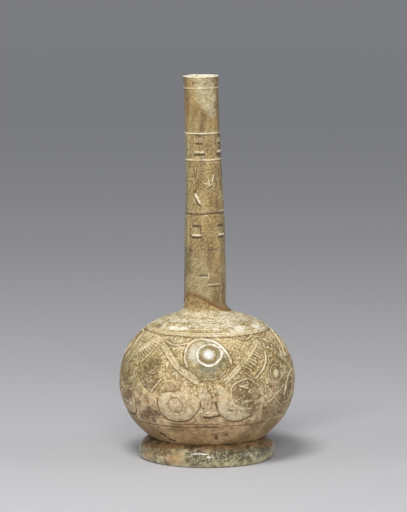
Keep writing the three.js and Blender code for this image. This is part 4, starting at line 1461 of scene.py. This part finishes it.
# %% The bulb's ground
def bulb_ground(finish, zone):
    """The ground's colours by height: tan, paler near the top, peach below, brown at the base, white crust
    on the shoulder and amber on the stub, with olive patches."""
    grain, mottle, medium, mossy = zone.grain, zone.mottle, zone.medium, zone.mossy
    upper = finish.rise(zone.up + (medium - 0.5) * 0.02, *upper_zone)
    moss = finish.tones(mottle, 0.38, 0.62, (92, 84, 46), (172, 160, 116))
    peach = finish.tones(mottle, 0.38, 0.6, (184, 152, 110), (244, 218, 178))
    tan = finish.tones(grain, 0.42, 0.6, (138, 106, 62), (194, 162, 114))
    under = finish.tones(grain, 0.41, 0.61, (160, 124, 80), (218, 182, 136))
    rings = finish.streaks(70, 380, roughness=0.6)
    flaked = finish.tones(mottle * 0.6 + rings * 0.4, 0.4, 0.6, (146, 124, 76), (212, 194, 148))
    whitish = finish.tones(mottle, 0.36, 0.6, (198, 182, 144), (244, 236, 212))
    worn_cap = finish.rise(zone.crust * 0.6 + (mottle - 0.5) * 0.9 + (rings - 0.5) * 1.2 + 0.3, 0.3, 0.9)
    return finish.layers(
        finish.tones(grain, 0.4, 0.6, (136, 112, 58), (216, 190, 136)),
        (finish.rise(mottle, 0.55, 0.66) * 0.75, (236, 218, 174)),
        (upper * 0.65, (222, 200, 156)),
        (mossy * 0.6, moss),
        (zone.lower * (0.85 - 0.6 * mossy), finish.blend(finish.rise(medium, 0.5, 0.66), peach, tan)),
        (zone.base * (0.9 - 0.5 * mossy), under),
        (zone.shoulder, finish.blend(worn_cap, flaked, whitish)),
        (zone.collar, finish.tones(mottle, 0.38, 0.62, (126, 98, 54), (182, 154, 104))),
    )


# %% [markdown]
# Grit is the finest layer: light and dark grains of half a millimetre, weaker where the glass is smooth.
# Dirt then lies beside the ridges, in the specks and in the pits.

# %% The bulb's grit and dirt
def gritty(finish, zone, ground):
    """Adds light grains, dark grains, dirt, specks and the pits' shadow to the ground."""
    lower, shoulder, fine = zone.lower, zone.shoulder, zone.fine
    smooth = 1 - lower * 0.4 - zone.base * 0.4 - shoulder * 0.2 - zone.collar * 0.3 - zone.olive * 0.4
    dirt = finish.rise(zone.hollow * 0.7 + fine * 0.6, 0.45, 0.85)
    specks = finish.rise(fine * 0.7 + zone.mottle * 0.4, 0.6, 0.68) * (1 - zone.field) * (1 - shoulder * 0.6)
    return finish.layers(
        ground,
        (finish.rise(zone.grit, 0.46, 0.37) * 0.55 * smooth,
         finish.blend(zone.medium, (236, 226, 178), (248, 218, 190))),
        (finish.rise(zone.grit, 0.515, 0.6) * 0.65 * smooth, (96, 78, 34)),
        (dirt * (0.7 - 0.3 * lower), (100, 80, 38)),
        (specks * (0.8 - 0.4 * lower), (80, 62, 30)),
        (finish.rise(zone.pit, 0.15, 0.7) * 0.6, (100, 78, 44)),
    )


# %% [markdown]
# Inside a medallion the crust has flaked off. What shows is grey glass with a silvery painted reflection at
# the upper left and dirt caught at the lower right. The discs are paler and warmer than the ground.

# %% The medallions' and discs' colours
clear_zone, disc_zone = (0.049, 0.052), (0.052, 0.049)


def cleared(finish, zone, ground):
    """Adds the medallions' clear glass, its silvery painted reflection and its murk, the boss with its
    painted highlight, and the pale discs. The masks that later steps need are kept in the zones."""
    field, mottle, medium = zone.field, zone.mottle, zone.medium
    uneven = (mottle - 0.5) * 0.6
    zone.inside = finish.rise(field * finish.rise(zone.up, *clear_zone) + (mottle - 0.5) * 0.8, 0.4, 0.8)
    # The silvery patch is a painted reflection at each medallion's upper left.
    zone.silver = finish.rise(field * zone.glow + (medium - 0.5) * 0.8 + uneven, 0.25, 0.75)
    zone.disc = finish.rise(field * finish.rise(zone.up, *disc_zone) + (mottle - 0.5) * 1.2, 0.3, 1.0)
    murky = finish.rise(field * zone.murk + (medium - 0.5) * 0.5 + uneven, 0.3, 0.8)
    deep = finish.tones(zone.grit * 0.6 + mottle * 0.4, 0.42, 0.6, (84, 78, 50), (158, 148, 112))
    return finish.layers(
        ground,
        (zone.inside * 0.35, (144, 134, 96)),
        (zone.silver * 0.7, finish.blend(mottle, (140, 134, 108), (224, 218, 196))),
        (murky * 0.9, deep),
        # The boss's near-white colour is a painted highlight over its clear glass.
        (zone.eye, (214, 211, 200)),
        (zone.disc * 0.7, finish.tones(mottle, 0.38, 0.62, (192, 164, 122), (234, 216, 180))),
    )


# %% The bulb's patches
def patched(finish, zone, ground):
    """Adds the blooms, the shaded ground and the brown stains that were placed one by one."""
    mottle, medium, shoulder = zone.mottle, zone.medium, zone.shoulder
    patch = finish.rise(zone.bloom + (mottle - 0.5) * 1.3, 0.4, 0.95)
    blooms = finish.blend(zone.fine, (194, 182, 144), (234, 222, 188))
    # Broad darkening: painted shading at the bulb's edges and lower sides, brown tone elsewhere.
    shade_and_brown_share = finish.rise(zone.shade + (medium - 0.5) * 0.5, 0.2, 1.0)
    blot = finish.rise(zone.stain + (mottle - 0.5) * 1.1 + (medium - 0.5) * 0.6, 0.4, 0.85)
    return finish.layers(
        ground,
        (patch * (0.55 + 0.25 * shoulder), finish.blend(shoulder * 0.8, blooms, (246, 244, 226))),
        (shade_and_brown_share * 0.62, (106, 82, 42)),
        (blot * 0.85, finish.tones(mottle, 0.4, 0.6, (142, 114, 80), (90, 68, 48))),
    )


# %% [markdown]
# Last come the lines. The ridges' tops are rubbed to cream, the grooves hold brown dirt, and near the break
# the restorer's resin has stained the glass. The coat's weight rises only where the glass is bare, so the
# boss shines and the crust stays dull.

# %% Crusted relief glass
def crusted_glass():
    """The bulb's material: the ground with all its layers, the lines, and a bump of its finer noises."""
    finish = Finish("crusted_relief_glass")
    zone = bulb_zones(finish)
    mottle, fine, groove = zone.mottle, zone.fine, zone.groove
    ground = gritty(finish, zone, bulb_ground(finish, zone))
    ground = patched(finish, zone, cleared(finish, zone, ground))
    cream = finish.rise(zone.ridge + (fine - 0.5) * 0.9 + (mottle - 0.5) * 0.5, 0.3, 0.85)
    ridges = finish.blend(mottle, (216, 196, 152), (252, 242, 212))
    traced = finish.rise(groove + (fine - 0.5) * 0.5 + (mottle - 0.5) * 0.6, 0.25, 0.85)
    mended = finish.rise(zone.mend + (mottle - 0.5) * 1.2, 0.5, 1.0)
    colour = finish.layers(
        ground,
        (cream * 0.88, finish.blend(zone.inside, ridges, (250, 242, 226))),
        (traced * (0.85 - 0.2 * zone.disc), (98, 72, 40)),
        (finish.rise(groove, 0.45, 0.95) * zone.base * 0.6, (60, 42, 26)),
        (mended * 0.6, (140, 104, 56)),
    )
    bumps = fine * 0.4 + mottle * 0.6 + zone.grit * 0.4 + finish.streaks(60, 2200) * 0.35 * zone.lower
    normal = finish.bump(bumps * (1 - zone.silver * 0.6 - zone.eye * 0.3), 0.0009)
    roughness = 0.5 - cream * 0.08 - zone.eye * 0.2 - zone.disc * 0.06 + (fine - 0.5) * 0.3
    coat = 0.03 + zone.inside * 0.12 + zone.eye * 0.4
    return finish.surface(colour, roughness, normal, coat,
                          **{"Coat Roughness": 0.22, "Specular IOR Level": 0.28})


dress(bulb, "bulb", crusted_glass())

# %% [markdown]
# ## The neck's finish
# The neck is more golden and glossier than the bulb. Brown streaks run down it, its edges show the greenish
# glass, and dirt has settled under every ring and bar. It could share the bulb's material, but most of
# those masks would be off here, so its own is simpler.

# %% The neck's zones and ground
def neck_zones(finish):
    """The neck's attributes and its noises, of which one is stretched into streaks that run down it."""
    zone = finish.marks("ridge hollow pit mend groove pale gold green")
    zone.up, zone.streak = finish.height(), finish.streaks(170, 40, roughness=0.6)
    zone.medium, zone.mottle = finish.noise(130, 4), finish.noise(450, 5, 0.75)
    zone.fine, zone.grit = finish.noise(820, 4, 0.65), finish.noise(1050, 2, 0.7)
    return zone


def neck_ground(finish, zone):
    """Honey glass in two tones, with golden, pale and greenish zones where they were placed."""
    medium, mottle = zone.medium, zone.mottle
    grain = zone.streak * 0.5 + mottle * 0.3 + medium * 0.2
    bloom = finish.tones(mottle, 0.38, 0.62, (168, 154, 114), (206, 194, 158))
    duller = finish.tones(mottle, 0.38, 0.62, (138, 126, 86), (178, 162, 120))
    return finish.layers(
        finish.tones(grain, 0.38, 0.62, (112, 88, 44), (172, 148, 97)),
        (finish.rise(mottle, 0.56, 0.7) * 0.4, (212, 194, 148)),
        (finish.rise(zone.gold + (medium - 0.5) * 0.9, 0.3, 0.9) * 0.75,
         finish.tones(grain, 0.4, 0.6, (120, 92, 42), (172, 142, 86))),
        (finish.rise(zone.pale + (medium - 0.5) * 0.7, 0.15, 1.0) * 0.8,
         finish.blend(finish.rise(zone.up, 0.19, 0.15), bloom, duller)),
        (finish.rise(zone.green + (medium - 0.5) * 0.5, 0.3, 0.8) * 0.85,
         finish.tones(mottle, 0.38, 0.62, (90, 86, 50), (132, 124, 82))),
    )


# %% Golden neck glass
def golden_glass():
    """The neck's material: its ground, grit and dirt, cream on the ridges, and a pale worn lip whose
    near-white top is partly a painted highlight.
    """
    finish = Finish("golden_neck_glass")
    zone = neck_zones(finish)
    mottle, fine, grit = zone.mottle, zone.fine, zone.grit
    rough_share = 1 - finish.rise(zone.up, 0.19, 0.2) * 0.5 - finish.rise(zone.up, 0.125, 0.115) * 0.4
    # The lip's top band: pale worn crust, pushed near-white and into spots as a painted highlight.
    lip_wear_and_glint = finish.rise(zone.up, 0.2232, 0.2242) * 0.8
    cream = finish.rise(zone.ridge + (fine - 0.5) * 0.7 + (mottle - 0.5) * (0.4 + lip_wear_and_glint * 3), 0.3, 0.85)
    ridges = finish.blend(mottle, (214, 194, 152), (248, 238, 208))
    rim = finish.tones(mottle, 0.36, 0.56, (222, 206, 170), (253, 247, 230))
    colour = finish.layers(
        neck_ground(finish, zone),
        (finish.rise(grit, 0.44, 0.36) * 0.4 * rough_share, (226, 208, 164)),
        (finish.rise(grit, 0.53, 0.61) * 0.55 * rough_share, (98, 76, 36)),
        (finish.rise(zone.hollow + (fine - 0.5) * 0.6, 0.3, 0.8) * 0.75, (92, 70, 34)),
        (finish.rise(zone.pit, 0.15, 0.7) * 0.75, (80, 62, 30)),
        (finish.rise(fine * 0.7 + mottle * 0.4, 0.6, 0.7) * 0.5, (104, 80, 42)),
        (cream * 0.85, finish.blend(lip_wear_and_glint, ridges, rim)),
        (finish.rise(zone.groove + (fine - 0.5) * 0.4, 0.25, 0.8) * 0.8, (84, 62, 28)),
        (finish.rise(zone.mend + (mottle - 0.5) * 1.4, 0.4, 0.9) * 0.75, (122, 88, 40)),
    )
    normal = finish.bump(fine * 0.4 + mottle * 0.6 + grit * 0.3 + zone.streak * 0.2, 0.0006)
    roughness = 0.42 + (mottle - 0.5) * 0.4 + zone.hollow * 0.15
    return finish.surface(colour, roughness, normal, 0.4 - zone.ridge * 0.2,
                          **{"Coat Roughness": 0.2, "IOR": 1.5})


dress(neck, "neck", golden_glass())

# %% [markdown]
# ## The foot's, scar's and resin's finishes
# The foot's glass is thick, so it looks pale grey-green, and black specks sit in its pits, in clusters.
# Clay has stained it orange in places, and under the bulb it is brown with dirt and darkened as painted
# shadow. The resin has gone dark and stays a little shiny. Transmission could make them see-through, but
# the glass is too weathered for that, so colour and a coat do it.

# %% Pale foot glass
def pale_glass(name):
    """Two tones of grey-green, orange clay, clustered black specks, and under the bulb brown dirt with
    painted shadow.
    """
    finish = Finish(name)
    zone = finish.marks("grime speckled orange")
    medium, mottle, fine = finish.noise(170, 4), finish.noise(330, 5, 0.7), finish.noise(560, 5, 0.65)
    clay = finish.rise(zone.orange + (medium - 0.5) * 1.6 + (mottle - 0.5), 0.2, 1.1)
    cluster = finish.rise(zone.speckled + (finish.noise(90, 3) - 0.5) * 0.8, 0.15, 0.75)
    specks = finish.rise(fine * 0.3 + finish.noise(1500, 2, 0.6) * 0.7, 0.485, 0.54) * cluster
    # Under the bulb: brown dirt with painted shadow, less glossy and with less coat.
    brown = finish.rise(zone.grime + (mottle - 0.5) * 0.6, 0.2, 0.6)
    colour = finish.layers(
        finish.tones(medium * 0.4 + mottle * 0.6, 0.38, 0.62, (106, 94, 60), (198, 188, 148)),
        (clay * 0.75, (168, 130, 84)),
        (specks * 0.9, (52, 44, 24)),
        (brown * 0.85, finish.tones(medium * 0.6 + mottle * 0.4, 0.34, 0.66, (68, 48, 26), (154, 114, 70))),
    )
    normal = finish.bump(fine * 0.4 - specks * 0.5, 0.0005)
    roughness = 0.3 + specks * 0.35 + brown * 0.2
    return finish.surface(colour, roughness, normal, 0.6 - brown * 0.4,
                          **{"Coat Roughness": 0.12, "IOR": 1.5})


dress(foot, "foot_ring", pale_glass("pitted_foot_glass"))
dress(scar, "pontil_scar", pale_glass("broken_scar_glass"))


# %% Brown resin
def brown_resin():
    """Two browns mixed by a noise, and a low roughness that varies with it."""
    finish = Finish("brown_mend_resin")
    medium, fine = finish.noise(300, 4), finish.noise(900, 3)
    colour = finish.tones(medium, 0.35, 0.65, (92, 64, 28), (160, 118, 62))
    normal = finish.bump(fine * 0.5 + medium * 0.5, 0.0003)
    return finish.surface(colour, 0.2 + medium * 0.2, normal, 0.6, **{"IOR": 1.52, "Coat Roughness": 0.08})


dress(resin, "mend_resin", brown_resin())

# %% [markdown]
# ## The stage
# The floor is a plain pale disc, wide enough to fill the view. The lamps stand near the bottle, so the
# floor darkens behind it, as paper in a studio does. Its own grey is darker near the bottle as painted
# shading and a little paler with the distance to soften that falloff. A bent backdrop would do too, but a
# flat floor looks the same from every side.

# %% The floor
def floor_disc(radius, thickness, columns=96):
    """A flat round slab: rings at growing radii on top and one below, whose middles close it."""
    reach = radius * np.array((0, 0.02, 0.1, 0.4, 1, 1, 0))
    drop = thickness * np.array((0, 0, 0, 0, 0, -1, -1))
    turn = np.arange(columns) * 360 / columns
    place = carried(reach[::-1, None] / MM, drop[::-1, None] / MM, turn)
    return skin("floor", place, poles=True)


def floor_paper():
    """Pale paper: darker near the bottle as painted shading, paler with the distance against the lamps'
    falloff.
    """
    finish = Finish("studio_paper")
    away = finish.node("ShaderNodeVectorMath", {"operation": "LENGTH"}, {0: finish.place}, output="Value")
    # Painted shading near the bottle, paler paper far off.
    colour = finish.tones(away, 0.1, 4.5, (188, 188, 190), (236, 236, 238))
    return finish.surface(colour, 0.8, finish.bump(finish.noise(900), 0.00002))


floor = floor_disc(12.0, 0.02)
floor.data.materials.append(floor_paper())

# %% [markdown]
# ## Light
# Two boxes above and in front light the shoulder and put the highlight on the boss. Two tall boxes at the
# sides draw the bright lines down the neck, and a pale world fills the shadows. Their levels are set so
# that a colour renders about as it is written.

# %% The lamps
def soft_box(name, place, aim, size, power):
    """A rectangular lamp at a place in metres, turned to face a point: tipped by the angle between its way
    there and straight down, and turned by the angle of its way over the floor."""
    lamp = bpy.data.lights.new(name, "AREA")
    lamp.shape = "RECTANGLE"
    lamp.size, lamp.size_y = size
    lamp.energy = power
    holder = bpy.data.objects.new(name, lamp)
    bpy.context.scene.collection.objects.link(holder)
    holder.location = place
    towards = np.array(aim, float) - place
    level = math.hypot(towards[0], towards[1])
    heading = math.atan2(towards[1], towards[0]) - math.pi / 2
    holder.rotation_euler = (math.atan2(level, -towards[2]), 0, heading)


bulb_middle = (0, 0, 0.08)
soft_box("top_box", (-0.2, -0.6, 1.1), bulb_middle, (0.4, 0.3), 11.0)
soft_box("front_box", (0.1, -1.5, 0.95), bulb_middle, (0.5, 0.4), 11.0)
soft_box("left_box", (-1.6, -0.5, 0.6), bulb_middle, (0.5, 1.4), 4.0)
soft_box("right_box", (1.6, -0.3, 0.7), bulb_middle, (0.5, 1.4), 5.0)

world = bpy.data.worlds.new("studio")
bpy.context.scene.world = world
world.use_nodes = True
backing = world.node_tree.nodes["Background"]
backing.inputs["Color"].default_value = tint(200, 202, 206)
backing.inputs["Strength"].default_value = 0.38

# %% [markdown]
# ## The camera
# The photograph was taken from a little above, with a long lens. The camera's distance, height and tilt
# were fitted so that the rim's and the foot's ellipses fall where the photograph has them.

# %% The camera
camera_tilt = 7.593
camera_data = bpy.data.cameras.new("camera")
camera_data.lens = 235.5
camera = bpy.data.objects.new("camera", camera_data)
bpy.context.scene.collection.objects.link(camera)
camera.location = (-2.05 * MM, -1945 * MM, 378.1 * MM)
camera.rotation_euler = (math.radians(90 - camera_tilt), 0, 0)
bpy.context.scene.camera = camera
bpy.context.scene.view_settings.view_transform = "Standard"
print("camera %.2f m away" % camera.location.length)
